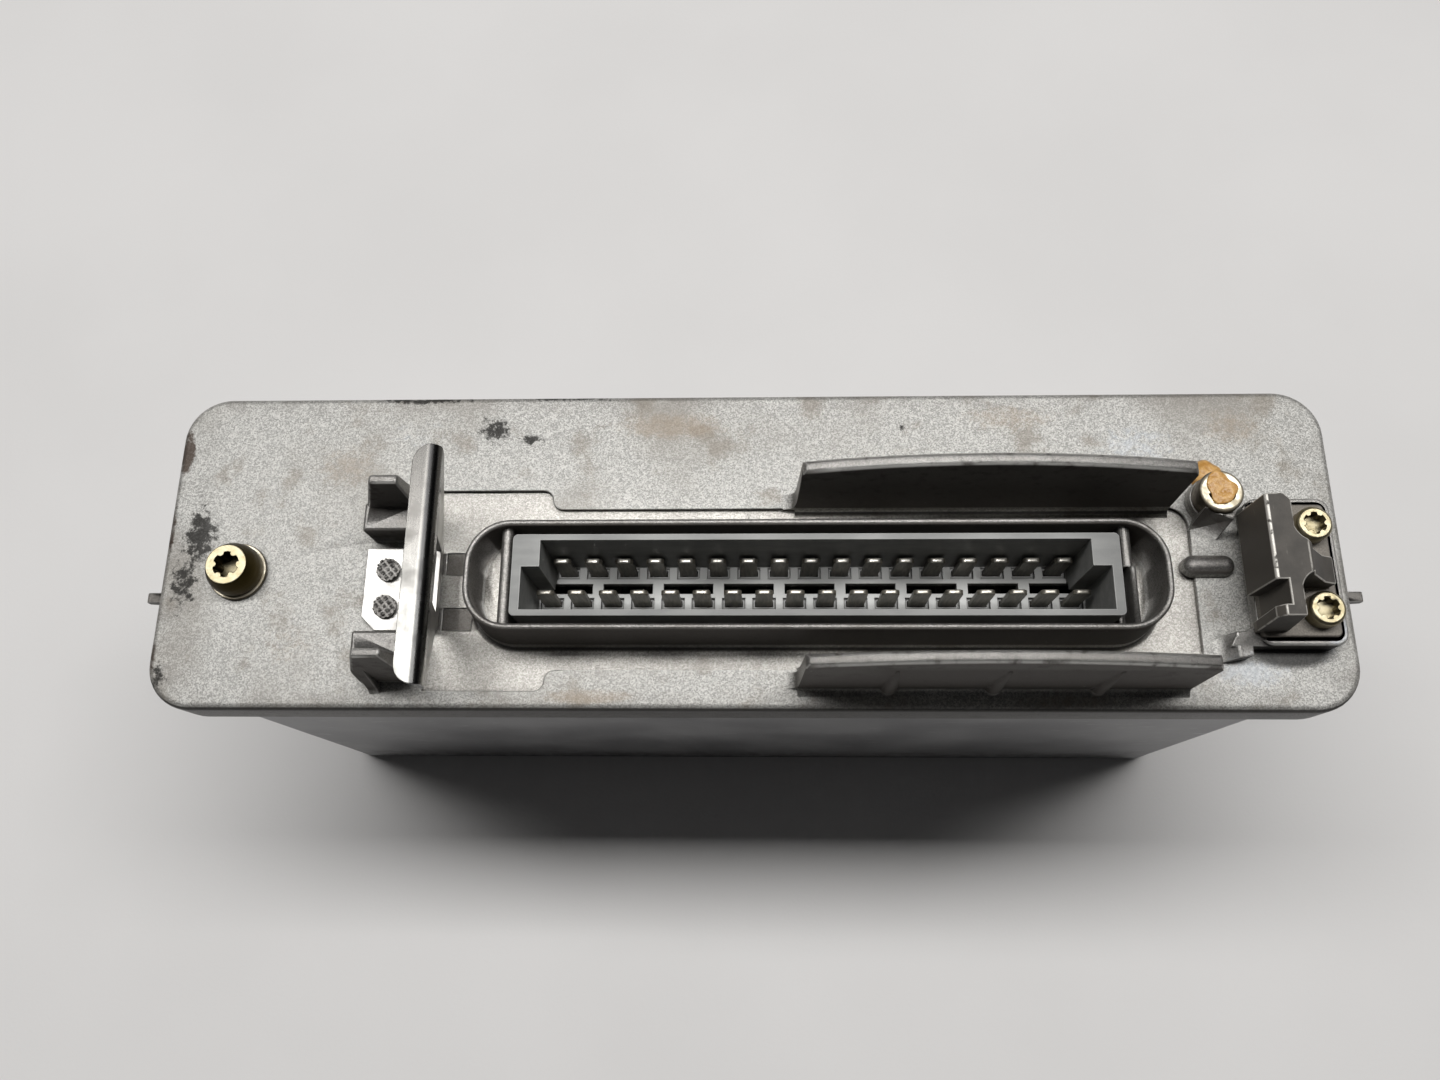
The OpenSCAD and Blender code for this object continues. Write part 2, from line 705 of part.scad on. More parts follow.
module end_plate() {
    color(cast_grey) translate([0, 0, face_z]) difference() {
        union() {
            difference() {
                plate_shell();
                translate([0, 0, floor_z]) linear_extrude(recess_t + 1) recess_outline();
            }
            collar();
            trough_ribs();
            guard_walls();
            translate([0, socket_y, 0]) {
                latch_tower();
                mirror([0, 1, 0]) latch_tower();
            }
            for (s = [-1, 1]) translate([rivet_x, socket_y + s * rivet_gap / 2, 0]) cast_rivet();
            hook_tray();
            pill_rib();
            screw_shield();
            translate([seal_x, seal_y, floor_z]) cylinder(d = seal_head_d + 0.4, h = boss_h - floor_z);
            side_peg();
            mirror([1, 0, 0]) side_peg();
        }
        translate([socket_x - header_w / 2 - header_fit, socket_y - header_d / 2 - header_fit, -skirt_h])
            cube([header_w + 2 * header_fit, header_d + 2 * header_fit, skirt_h + floor_z + 1]);
        for (s = [-1, 1]) translate([foot_x, socket_y + s * 4.6 - 1.8, floor_z - 0.4])
            cube([latch_gap - collar_foot, 3.6, 1]);
        translate([bolt_x, bolt_y, -skirt_h]) cylinder(d = bolt_d + 2 * hole_fit, h = skirt_h + 1);
        translate([seal_x, seal_y, -skirt_h]) cylinder(d = seal_d + 2 * hole_fit, h = skirt_h + boss_h + 1);
        for (s = [-1, 1]) translate([hook_screw_x, tray_y + s * hook_gap / 2, hook_seat - hook_screw_l])
            cylinder(d = hook_screw_d, h = hook_screw_l + 1);
    }
}

// Drawn can, open at the top
module can() {
    color(can_grey) difference() {
        translate([0, 0, can_h]) mirror([0, 0, 1]) soft_slab(can_w, can_d, can_r, can_h, can_edge_r);
        translate([0, 0, can_wall]) rounded_block(in_w, in_d, can_r - can_wall, can_h);
    }
}

module seal_bead() {
    h = skirt_h - plate_t - bead_inset;
    color("dimgray") translate([0, 0, can_h - h]) difference() {
        rounded_block(plate_w - 2 * skirt_wall, plate_d - 2 * skirt_wall, plate_r - skirt_wall, h);
        translate([0, 0, -1]) rounded_block(can_w, can_d, can_r, h + 2);
    }
}

// Openings of the header: cavity with keyed rear corners, contact slots and pockets of the bench
module header_hollows() {
    open_h = bench_depth + 1;
    translate([socket_x, socket_y, bench_z]) difference() {
        translate([-cavity_w / 2, -cavity_d / 2, 0]) cube([cavity_w, cavity_d, open_h]);
        for (s = [-1, 1]) translate([s * (cavity_w / 2 - key_w / 2) - key_w / 2, cavity_d / 2 - key_d, -1])
            cube([key_w, key_d + 1, open_h + 2]);
    }
    slot_w = tab_w + 2 * tab_fit;
    slot_t = tab_t + 2 * tab_fit;
    pocket_w = tab_w * 1.36;
    pocket_d = tab_t * 2.5;
    translate([0, 0, header_bottom - 1]) {
        row_places(front_count - 1, rear_row_y)
            translate([-slot_w / 2, -slot_t / 2, 0]) cube([slot_w, slot_t, bench_z - header_bottom + 2]);
        row_places(front_count, front_row_y)
            translate([-slot_w / 2, -slot_t / 2, 0]) cube([slot_w, slot_t, bench_z - header_bottom + 2]);
    }
    translate([0, 0, bench_z - 1]) {
        row_places(front_count - 1, rear_row_y) translate([-pocket_w / 2, -pocket_d * 0.6, 0])
            cube([pocket_w, pocket_d, 2]);
        row_places(front_count, front_row_y) translate([-pocket_w / 2, -pocket_d * 0.6, 0])
            cube([pocket_w, pocket_d, 2]);
    }
    posts = floor(front_count / 2);
    for (i = [0:posts - 1]) translate([socket_x + (i - (posts - 1) / 2) * 2 * pitch - pitch + 0.9,
            (rear_row_y + front_row_y) / 2 - row_gap * 0.21, bench_z - 2])
        cube([2 * (pitch - 0.9), row_gap * 0.33, 3]);
}

module connector_header() {
    color(header_grey) translate([0, 0, face_z]) {
        difference() {
            union() {
                translate([socket_x, socket_y, header_bottom])
                    rounded_block(header_w, header_d, 0.8, header_top - header_bottom);
                translate([socket_x, socket_y, under_z - flange_t])
                    rounded_block(header_w + 2 * flange_out, header_d + 2 * flange_out, 1.5, flange_t);
            }
            header_hollows();
        }
    }
}

// Flat contact: blade with a chamfered tip, then a tail that turns to the main board
module contact(row_y, tail_z) {
    top = face_z + tip_z;
    low = face_z + header_bottom;
    tip = tab_w / 5;
    translate([0, -tab_t / 2, 0]) along_y(0, tab_t) polygon([[-tab_w / 2, low], [tab_w / 2, low],
        [tab_w / 2, top - tip], [tab_w / 2 - tip, top], [tip - tab_w / 2, top], [-tab_w / 2, top - tip]]);
    translate([-tail_w / 2, -tab_t / 2, tail_z]) cube([tail_w, tab_t, low - tail_z]);
    translate([-tail_w / 2, -tab_t / 2, tail_z]) cube([tail_w, main_y1 + 1.2 - row_y + tab_t / 2, tab_t]);
}

module rear_contacts() {
    color(tab_brown) row_places(front_count - 1, rear_row_y) contact(rear_row_y, rear_tail_z);
}

module front_contacts() {
    color(tab_brown) row_places(front_count, front_row_y) contact(front_row_y, front_tail_z);
}

// Sheet section of the latch: flat stretch, then what follows at its end
module sheet_run(l) {
    square([l, sheet_t]);
    translate([l, 0]) children();
}

// Sheet section of the latch: bend to the left by an angle, then what follows at its end
module sheet_bend(angle, r) {
    big = 4 * (r + sheet_t);
    translate([0, sheet_t + r]) {
        intersection() {
            difference() {
                circle(r + sheet_t);
                circle(r);
            }
            polygon([[0, 0], [0, -big], [big * sin(angle / 2), -big * cos(angle / 2)],
                [big * sin(angle), -big * cos(angle)]]);
        }
        rotate(angle) translate([0, -sheet_t - r]) children();
    }
}

// Folded latch: strip under the rivets, leaning wall with a window, lip over the towers
module latch_spring() {
    flat = strip_l - foot_bend - sheet_t;
    mid_z = sheet_t + foot_bend + wall_l * 0.52;
    color(latch_steel) translate([0, socket_y, face_z]) difference() {
        intersection() {
            along_y(-latch_w / 2, latch_w / 2) translate([strip_x0, 0])
                sheet_run(flat) sheet_bend(90 - latch_lean, foot_bend)
                    sheet_run(wall_l) sheet_bend(lip_turn, lip_bend) sheet_run(lip_l);
            along_x(strip_x0 - 1, collar_left) polygon([[-strip_w / 2, -1], [strip_w / 2, -1],
                [strip_w / 2, 3], [latch_w / 2, latch_h - 4], [latch_w / 2, latch_h + 3],
                [-latch_w / 2, latch_h + 3], [-latch_w / 2, latch_h - 4], [-strip_w / 2, 3]]);
            union() {
                translate([strip_x0 - 1, -strip_w / 2, -1]) cube([strip_l + 1, strip_w, latch_h / 2]);
                translate([foot_x - lip_back + 7.5, 0, -1]) rounded_block(15, latch_w, lip_r, latch_h + 5);
            }
        }
        translate([foot_x - 2, -window_w / 2, mid_z - window_h / 2]) cube([latch_gap, window_w, window_h]);
        for (s = [-1, 1]) translate([rivet_x, s * rivet_gap / 2, -1])
            cylinder(d = rivet_d + 2 * tab_fit, h = sheet_t + 2);
        translate([strip_x0, -strip_w / 2, -1]) rotate(45) translate([-4.4, -5, 0]) cube([6, 10, sheet_t + 2]);
    }
}

// Hook block: base in the tray, upright web with an overhanging nose, and an arm between the screws
module hook_block() {
    base_w = tray_x1 - tray_rim - hole_fit - web_x0;
    base_d = tray_d - 2 * tray_rim - 2 * hole_fit;
    arm_y = tray_y - arm_shift;
    arm_x1 = tray_x1 - tray_rim - 1.2;
    bend = arm_fillet - 0.15;
    color(hook_dark) translate([0, 0, face_z]) difference() {
        union() {
            translate([web_x0 + base_w / 2, tray_y, tray_floor]) rounded_block(base_w, base_d, 0.9, hook_base);
            difference() {
                union() {
                    translate([web_x0, web_y0, tray_floor])
                        cube([web_t, nose_y1 - web_y0, hook_h - tray_floor]);
                    translate([nose_x, nose_y0, nose_z]) cube([web_x1 - nose_x, nose_l, hook_h - nose_z]);
                }
                translate([web_x1, nose_y1, tray_floor - 1]) rotate(45)
                    translate([-0.7, -3, 0]) cube([3, 6, hook_h]);
            }
            along_y(web_y0, web_y0 + 1.8) polygon([[web_x0 - 0.7, tray_floor], [web_x1 + 2.2, tray_floor],
                [web_x1, hook_h], [nose_x + 0.9, hook_h], [nose_x, hook_h - 1.6]]);
            intersection() {
                along_y(arm_y - 6, arm_y + 6) polygon([[web_x0, tray_floor], [arm_x1, tray_floor],
                    [arm_x1, hook_seat + 2.2], [arm_x1 - 2, hook_seat + 3.2], [web_x1 + 3.4, hook_h - 3],
                    [web_x1 + 2.4, hook_h - 0.8], [web_x1 + 1.6, hook_h], [web_x0, hook_h]]);
                linear_extrude(hook_h + 1) difference() {
                    union() {
                        translate([web_x0, arm_y - arm_half]) square([arm_x1 - web_x0, 2 * arm_half]);
                        translate([web_x0, arm_y - arm_half - bend])
                            square([web_t + bend, 2 * (arm_half + bend)]);
                    }
                    for (s = [-1, 1]) translate([web_x1 + bend, arm_y + s * (arm_half + arm_fillet)])
                        circle(arm_fillet);
                }
            }
        }
        for (s = [-1, 1]) translate([hook_screw_x, tray_y + s * hook_gap / 2, tray_floor - 1])
            cylinder(d = hook_screw_d + 2 * hole_fit, h = hook_h);
    }
}

// Cheese-head screw with a six-lobe drive, seated at the origin
module lobe_screw(d, l, head_d, head_h, drive) {
    translate([0, 0, -l]) cylinder(d = d, h = l + eps);
    difference() {
        union() {
            cylinder(d = head_d, h = head_h - 0.4);
            translate([0, 0, head_h - 0.4]) cylinder(d1 = head_d, d2 = head_d - 0.8, h = 0.4);
        }
        translate([0, 0, head_h]) six_lobe(drive, head_h * 0.65);
    }
}

module hook_screws() {
    color(zinc_yellow) for (s = [-1, 1])
        translate([hook_screw_x, tray_y + s * hook_gap / 2, face_z + hook_seat])
            lobe_screw(hook_screw_d, hook_screw_l, hook_head_d, hook_head_h, hook_head_d * 0.62);
}

// Bolt with a tapered head
module bracket_bolt() {
    color(zinc_yellow) translate([bolt_x, bolt_y, face_z + washer_t]) {
        translate([0, 0, -bolt_l]) cylinder(d = bolt_d, h = bolt_l + eps);
        difference() {
            union() {
                cylinder(d = bolt_head_d, h = 1.2);
                waist_h = bolt_head_h * 0.6;
                waist_d = bolt_head_d * 0.75 + bolt_top_d * 0.25;
                translate([0, 0, 1.2]) cylinder(d1 = bolt_head_d, d2 = waist_d, h = waist_h - 1.2);
                translate([0, 0, waist_h]) cylinder(d1 = waist_d, d2 = bolt_top_d, h = bolt_head_h - waist_h);
            }
            translate([0, 0, bolt_head_h]) six_lobe(bolt_drive, 3);
        }
    }
}

module bolt_washer() {
    color("silver") translate([bolt_x, bolt_y, face_z]) difference() {
        cylinder(d = washer_d, h = washer_t);
        translate([0, 0, -1]) cylinder(d = bolt_d + 2 * hole_fit, h = washer_t + 2);
    }
}

module sealed_screw() {
    color(tin_silver) translate([seal_x, seal_y, face_z + boss_h])
        lobe_screw(seal_d, seal_l, seal_head_d, seal_head_h, seal_drive);
}

// Compound that fills the drive and a drop that ran down behind the head
module sealing_compound() {
    drop = 3.9;
    color(seal_orange) translate([seal_x, seal_y, face_z]) {
        translate([0, 0, boss_h + seal_head_h]) intersection() {
            six_lobe(seal_drive, seal_head_h * 0.65);
            translate([0, 0, -seal_head_h]) cylinder(d = seal_head_d, h = seal_head_h - 0.2);
        }
        difference() {
            translate([-0.1, seal_head_d / 2 + 0.8, 0]) intersection() {
                translate([0, 0, -0.9]) sphere(d = drop + 1.8);
                cylinder(d = 3 * drop, h = drop);
            }
            translate([0, 0, -1]) cylinder(d = seal_head_d + 0.4, h = boss_h + 1);
            translate([0, 0, -1]) cylinder(d = seal_head_d, h = 3 * drop);
        }
    }
}

// Folded chassis: rear wall, two sides, top flange with two threaded collars, eight board lugs
module board_chassis() {
    h = chassis_top - chassis_bottom;
    front = signal_y1;
    flange_y = socket_y + header_d / 2 + flange_out + 1;
    color("lightgray") difference() {
        union() {
            translate([0, 0, chassis_bottom]) linear_extrude(h) difference() {
                rounded_rect(chassis_w, 2 * chassis_back, chassis_r);
                rounded_rect(chassis_w - 2 * chassis_t, 2 * chassis_face, chassis_r / 2);
                translate([-chassis_w, front - 2 * chassis_back]) square([2 * chassis_w, 2 * chassis_back]);
            }
            translate([0, 0, chassis_top - chassis_t]) linear_extrude(chassis_t) intersection() {
                rounded_rect(chassis_w, 2 * chassis_back, chassis_r);
                union() {
                    translate([-chassis_w / 2, flange_y]) square([chassis_w, chassis_back - flange_y]);
                    translate([-chassis_w / 2, bolt_y - bolt_d])
                        square([bolt_x + chassis_w / 2 + bolt_d, chassis_back - bolt_y + bolt_d]);
                }
            }
            for (p = [[bolt_x, bolt_y, bolt_d], [seal_x, seal_y, seal_d]])
                translate([p[0], p[1], chassis_top - chassis_t - collar_nut_h])
                    cylinder(d = p[2] + 3.2, h = collar_nut_h + eps);
            for (s = [-1, 1], z = lug_zs, y = [main_y1, signal_y1])
                translate([s > 0 ? lug_x - lug_w / 2 : -chassis_w / 2, y, z - lug_h / 2])
                    cube([chassis_w / 2 - lug_x + lug_w / 2, chassis_t, lug_h]);
        }
        translate([bolt_x, bolt_y, 0]) cylinder(d = bolt_d, h = face_z);
        translate([seal_x, seal_y, can_h / 2]) cylinder(d = seal_d, h = face_z);
        for (s = [-1, 1], z = lug_zs, y = [main_y1, signal_y1]) translate([s * lug_x, y - 1, z])
            rotate([-90, 0, 0]) cylinder(d = board_screw_d, h = chassis_t + 2);
        for (x = clip_xs()) translate([x, chassis_face - 1, transistor_z])
            rotate([-90, 0, 0]) cylinder(d = board_screw_d, h = chassis_t + 2);
    }
}

// Board blank with its screw holes
module board_blank(y0) {
    difference() {
        translate([-board_w / 2, y0, board_z]) cube([board_w, board_t, board_h]);
        for (s = [-1, 1], z = lug_zs) translate([s * lug_x, y0 - 1, z]) rotate([-90, 0, 0])
            cylinder(d = board_screw_d + 2 * hole_fit, h = board_t + 2);
    }
}

// Main board, drilled for the tails of all contacts
module main_board() {
    hole_w = tail_w + 2 * tab_fit;
    hole_h = tab_t + 2 * tab_fit;
    color(board_green) difference() {
        board_blank(main_y0);
        row_places(front_count - 1, main_y0 - 1)
            translate([-hole_w / 2, 0, rear_tail_z - tab_fit]) cube([hole_w, board_t + 2, hole_h]);
        row_places(front_count, main_y0 - 1)
            translate([-hole_w / 2, 0, front_tail_z - tab_fit]) cube([hole_w, board_t + 2, hole_h]);
    }
}

module signal_board() {
    color(board_green) board_blank(signal_y0);
}

module board_screws() {
    color(tin_silver) for (s = [-1, 1], z = lug_zs, y = [main_y0, signal_y0])
        translate([s * lug_x, y, z]) rotate([90, 0, 0])
            lobe_screw(board_screw_d, board_t + chassis_t, board_screw_d * 1.8, 1.8, board_screw_d);
}

// Pins between the two boards and the strip that holds them
module link_pins() {
    color("gold") for (i = [0:link_count - 1])
        translate([(i - (link_count - 1) / 2) * link_gap - pin_t / 2, signal_y1, link_z - pin_t / 2])
            cube([pin_t, main_y0 - signal_y1, pin_t]);
}

module link_strip() {
    hole = pin_t + 2 * tab_fit;
    color(part_black) difference() {
        translate([-link_count * link_gap / 2, main_y0 - link_h, link_z - link_w / 2])
            cube([link_count * link_gap, link_h, link_w]);
        for (i = [0:link_count - 1])
            translate([(i - (link_count - 1) / 2) * link_gap - hole / 2, main_y0 - 2 * link_h, link_z - hole / 2])
                cube([hole, 3 * link_h, hole]);
    }
}

// Power transistors flat against the foil on the chassis, legs turned to the main board
function transistor_xs() = [for (i = [0:transistor_count - 1])
    (i - (transistor_count - 1) / 2) * transistor_gap];
function clip_xs() = [for (s = [-1, 1]) s * (transistor_count * transistor_gap / 2 + board_screw_d)];

module power_transistors() {
    y1 = chassis_face - foil_t;
    color(part_black) for (x = transistor_xs()) translate([x, 0, transistor_z]) {
        translate([-body_w / 2, y1 - body_t, -body_h / 2]) cube([body_w, body_t, body_h]);
        translate([-body_w / 2, y1 - fin_t, body_h / 2 - eps]) cube([body_w, fin_t, fin_h]);
        for (i = [-1:1]) translate([i * body_w / 4 - tail_w / 2, 0, -body_h / 2 - 3]) {
            translate([0, y1 - body_t * 0.7, 0]) cube([tail_w, tail_w / 2, 3 + eps]);
            translate([0, main_y1, 0]) cube([tail_w, y1 - body_t * 0.7 - main_y1 + eps, tail_w / 2]);
        }
    }
}

module insulating_foil() {
    l = (transistor_count - 1) * transistor_gap + body_w + 2;
    h = body_h + fin_h + 2;
    color("khaki") translate([-l / 2, chassis_face - foil_t, transistor_z - body_h / 2 - 1])
        cube([l, foil_t, h]);
}

// Spring clip pressed on the transistor bodies, with a foot at each end
module transistor_clip() {
    t = spring_t;
    y = chassis_face - foil_t - body_t - t;
    x1 = clip_xs()[1];
    foot = board_screw_d + 0.2;
    w = 2 * board_screw_d;
    color(tin_silver) difference() {
        union() {
            translate([-x1 + foot, y, transistor_z - w / 2]) cube([2 * (x1 - foot), t, w]);
            for (s = [-1, 1]) {
                translate([s * (x1 - foot - t / 2) - t / 2, y, transistor_z - w / 2])
                    cube([t, chassis_face - y, w]);
                translate([s > 0 ? x1 - foot - t : -x1 - foot, chassis_face - t, transistor_z - w / 2])
                    cube([2 * foot + t, t, w]);
            }
        }
        for (x = clip_xs()) translate([x, chassis_face - 2 * t, transistor_z]) rotate([-90, 0, 0])
            cylinder(d = board_screw_d + 2 * hole_fit, h = 3 * t);
    }
}

module clip_screws() {
    color(tin_silver) for (x = clip_xs()) translate([x, chassis_face - spring_t, transistor_z]) rotate([90, 0, 0])
        lobe_screw(board_screw_d, spring_t + chassis_t, board_screw_d * 1.8, 1.8, board_screw_d);
}

// Parts on the front of the main board
module capacitors() {
    for (i = [-1:1]) color("midnightblue")
        translate([-board_w * 0.33 + i * (cap_d + 3), main_y0, board_z + board_h * 0.6])
            rotate([90, 0, 0]) difference() {
                cylinder(d = cap_d, h = cap_h);
                translate([0, 0, 2]) rotate_extrude() translate([cap_d / 2 + 0.3, 0]) circle(0.8);
            }
}

module choke() {
    color("saddlebrown") translate([-board_w * 0.33, main_y0 - choke_t / 2, board_z + board_h * 0.32])
        rotate([90, 0, 0]) rotate_extrude() translate([choke_d / 2, 0]) circle(d = choke_t);
}

module driver_chips() {
    step = board_w * 0.14;
    color(part_black) for (i = [0:3])
        translate([(i - 1) * step, main_y0 - chip_t, board_z + board_h * 0.5]) cube([chip_l, chip_t, chip_w]);
}

module voltage_regulator() {
    color(part_black) translate([board_w * 0.29, main_y0 - body_t, board_z + board_h * 0.22]) {
        cube([body_w, body_t, body_h]);
        translate([0, body_t - fin_t, body_h - eps]) cube([body_w, fin_t, fin_h]);
    }
}

// Parts on the rear of the signal board
module microcontroller() {
    color(part_black) translate([-cpu_w / 2, signal_y1, board_z + board_h * 0.43]) cube([cpu_w, cpu_t, cpu_w]);
}

module memory_socket() {
    color(part_black) translate([board_w * 0.14, signal_y1, board_z + board_h * 0.49]) difference() {
        cube([mem_l, mem_t, mem_w]);
        translate([mem_w / 8, -1, mem_w / 4]) cube([mem_l - mem_w / 4, mem_t + 2, mem_w / 2]);
    }
}

module memory_chip() {
    z = board_z + board_h * 0.49 + mem_w / 16;
    color([0.2, 0.18, 0.17]) translate([board_w * 0.14, signal_y1 + mem_t, z])
        cube([mem_l, mem_t, mem_w * 7 / 8]);
}

module crystal() {
    color(tin_silver) translate([-board_w * 0.13, signal_y1, board_z + board_h * 0.54]) rotate([-90, 0, 0])
        rounded_block(crystal_w, crystal_l, crystal_w * 0.48, crystal_t);
}

module resistors() {
    color("peru") for (i = [0:7])
        translate([-board_w * 0.4 + i * 2 * res_d, signal_y1 + res_d / 2, board_z + board_h * 0.32])
            cylinder(d = res_d, h = res_l);
}

end_plate();
can();
seal_bead();
connector_header();
rear_contacts();
front_contacts();
latch_spring();
hook_block();
hook_screws();
bracket_bolt();
bolt_washer();
sealed_screw();
sealing_compound();
board_chassis();
main_board();
signal_board();
board_screws();
link_strip();
link_pins();
power_transistors();
insulating_foil();
transistor_clip();
clip_screws();
capacitors();
choke();
driver_chips();
voltage_regulator();
microcontroller();
memory_socket();
memory_chip();
crystal();
resistors();
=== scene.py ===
"""Looks of an engine control unit that stands on the closed end of its can."""

import math

import bmesh
import bpy
from mathutils import Matrix, Vector
from mathutils.bvhtree import BVHTree


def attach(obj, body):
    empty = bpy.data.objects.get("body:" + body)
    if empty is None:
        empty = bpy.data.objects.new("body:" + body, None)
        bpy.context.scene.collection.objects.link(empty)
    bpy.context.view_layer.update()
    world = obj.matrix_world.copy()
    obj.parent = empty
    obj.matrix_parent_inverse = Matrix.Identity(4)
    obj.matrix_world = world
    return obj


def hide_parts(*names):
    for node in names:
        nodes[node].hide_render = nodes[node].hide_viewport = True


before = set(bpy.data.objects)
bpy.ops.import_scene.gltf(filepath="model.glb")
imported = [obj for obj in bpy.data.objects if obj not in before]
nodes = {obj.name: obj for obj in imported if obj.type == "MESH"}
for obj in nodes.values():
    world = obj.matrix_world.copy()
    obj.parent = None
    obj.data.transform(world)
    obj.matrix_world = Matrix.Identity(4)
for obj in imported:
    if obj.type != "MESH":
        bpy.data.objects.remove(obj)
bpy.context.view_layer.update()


# Chassis and boards
# A folded aluminium chassis carries two glass-fibre boards and the parts that
# are soldered to them. All of it is closed in by the can, so the finishes are
# plain: mill-finish sheet, green laminate, moulded black and tinned metal.

class Field:
    """A value that varies over a surface: one output of a material's nodes."""

    def __init__(self, tree, socket):
        self.tree = tree
        self.socket = socket

    def feed(self, made, inputs):
        """Fields are linked to a node's sockets, plain values are set."""
        for key, value in inputs.items():
            if isinstance(value, Field):
                self.tree.links.new(value.socket, made.inputs[key])
            else:
                made.inputs[key].default_value = value

    def node(self, kind, settings=None, inputs=None, out=0):
        """Any node: its properties are set first, then its sockets."""
        made = self.tree.nodes.new(kind)
        for key, value in (settings or {}).items():
            setattr(made, key, value)
        self.feed(made, inputs or {})
        return Field(self.tree, made.outputs[out])

    def sum(self, operation, a, b=0.0):
        return self.node("ShaderNodeMath", {"operation": operation}, {0: a, 1: b})

    def __add__(self, other):
        return self.sum("ADD", self, other)

    def __sub__(self, other):
        return self.sum("SUBTRACT", self, other)

    def __rsub__(self, other):
        return self.sum("SUBTRACT", other, self)

    def __mul__(self, other):
        return self.sum("MULTIPLY", self, other)

    def __truediv__(self, other):
        return self.sum("DIVIDE", self, other)

    def __pow__(self, other):
        return self.sum("POWER", self, other)

    __radd__ = __add__
    __rmul__ = __mul__

    def most(self, other):
        return self.sum("MAXIMUM", self, other)

    def step(self, low, high):
        """0 below low, 1 above high, smooth between; falls where low is above high."""
        return self.node("ShaderNodeMapRange", {"interpolation_type": "SMOOTHSTEP"},
                         {"Value": self, "From Min": low, "From Max": high})

    def away(self, middle=0.0):
        """How far this value lies from middle, to either side."""
        return self.sum("ABSOLUTE", self - middle)

    def blend(self, a, b):
        """This value mixes colour b into colour a."""
        return self.node("ShaderNodeMix", {"data_type": "RGBA"}, {0: self, 6: a, 7: b}, 2)

    def stretch(self, x, y, z):
        return self.node("ShaderNodeVectorMath", {"operation": "MULTIPLY"},
                         {0: self, 1: (x, y, z)})

    def axis(self, name):
        return self.node("ShaderNodeSeparateXYZ", None, {0: self}, name)

    def normal(self, name):
        """One part of the direction that the surface faces."""
        return self.node("ShaderNodeNewGeometry", None, None, "Normal").axis(name)

    def noise(self, size, detail=2.0, rough=0.5):
        """Cloudy noise whose lumps are about size metres across."""
        return self.node("ShaderNodeTexNoise", None,
                         {"Vector": self, "Scale": 1 / size, "Detail": detail, "Roughness": rough})

    def grains(self, size):
        """Cells about size metres across, each with its own level."""
        cells = {"Vector": self, "Scale": 1 / size}
        return self.node("ShaderNodeTexVoronoi", None, cells, "Color").axis("X")

    def bump(self, height, depth):
        return self.node("ShaderNodeBump", None,
                         {"Height": height, "Distance": depth, "Strength": 1.0})


def tone(red, green, blue):
    """A colour as seen, 0 to 255, in the shader's own scale."""
    seen = [v / 255 for v in (red, green, blue)]
    return (*[v / 12.92 if v <= 0.04045 else ((v + 0.055) / 1.055) ** 2.4 for v in seen], 1.0)


def finish(name):
    """A new material: its surface shader and the place on the part, in metres."""
    made = bpy.data.materials.new(name)
    made.use_nodes = True
    tree = made.node_tree
    surface = next(n for n in tree.nodes if n.type == "BSDF_PRINCIPLED")
    return made, surface, Field(tree, tree.nodes.new("ShaderNodeTexCoord").outputs["Object"])


def wear(material, *names):
    """Nodes that keep their CAD mesh take the material."""
    for name in names:
        for slot in nodes[name].material_slots:
            slot.material = material


for name, colour, other, metal, rough, lump, named in (
    ("mill sheet", (176, 178, 180), (150, 152, 155), 1.0, 0.38, 0.004, ["board_chassis"]),
    ("green laminate", (38, 78, 52), (52, 96, 60), 0.0, 0.45, 0.003,
     ["main_board", "signal_board"]),
    ("moulded black", (36, 36, 38), (48, 47, 46), 0.0, 0.55, 0.001,
     ["link_strip", "power_transistors", "driver_chips", "voltage_regulator", "microcontroller",
      "memory_socket"]),
    ("brown ceramic", (92, 70, 58), (110, 84, 68), 0.0, 0.6, 0.0008, ["memory_chip"]),
    ("tinned pins", (190, 188, 180), (150, 148, 140), 1.0, 0.32, 0.001, ["link_pins"]),
    ("amber foil", (190, 132, 50), (164, 104, 36), 0.0, 0.35, 0.006, ["insulating_foil"]),
    ("blue sleeve", (34, 58, 104), (26, 44, 84), 0.0, 0.35, 0.004, ["capacitors"]),
    ("enamelled wire", (170, 92, 48), (130, 64, 34), 1.0, 0.35, 0.0012, ["choke"]),
    ("resistor lacquer", (196, 176, 132), (160, 138, 96), 0.0, 0.4, 0.0009, ["resistors"]),
):
    material, surface, place = finish(name)
    cloud = place.noise(lump, 3)
    fine = place.noise(lump / 6, 2)
    place.feed(surface, {
        "Base Color": cloud.step(0.35, 0.65).blend(tone(*colour), tone(*other)),
        "Metallic": metal,
        "Roughness": rough + 0.2 * (fine - 0.5),
        "Normal": place.bump(fine, 0.00003),
    })
    wear(material, *named)


# Bright screws inside
# Cheese-head steel screws of the boards and of the spring clip, the clip and
# the crystal's can: bright nickel-plated steel, turned or pressed.

material, surface, place = finish("bright plated steel")
turned = place.noise(0.0003, 3)
dull = place.noise(0.002, 3).step(0.4, 0.7)
place.feed(surface, {
    "Base Color": dull.blend(tone(205, 203, 198), tone(150, 147, 142)),
    "Metallic": 1.0,
    "Roughness": 0.24 + 0.25 * dull,
    "Normal": place.bump(turned, 0.00002),
})
wear(material, "board_screws", "transistor_clip", "clip_screws", "crystal")


# Can
# Drawn from aluminium sheet, closed at the bottom, open at the top, where the
# cast plate closes it. Drawing leaves fine lines that run up the walls, and
# handling has dulled and scratched it.

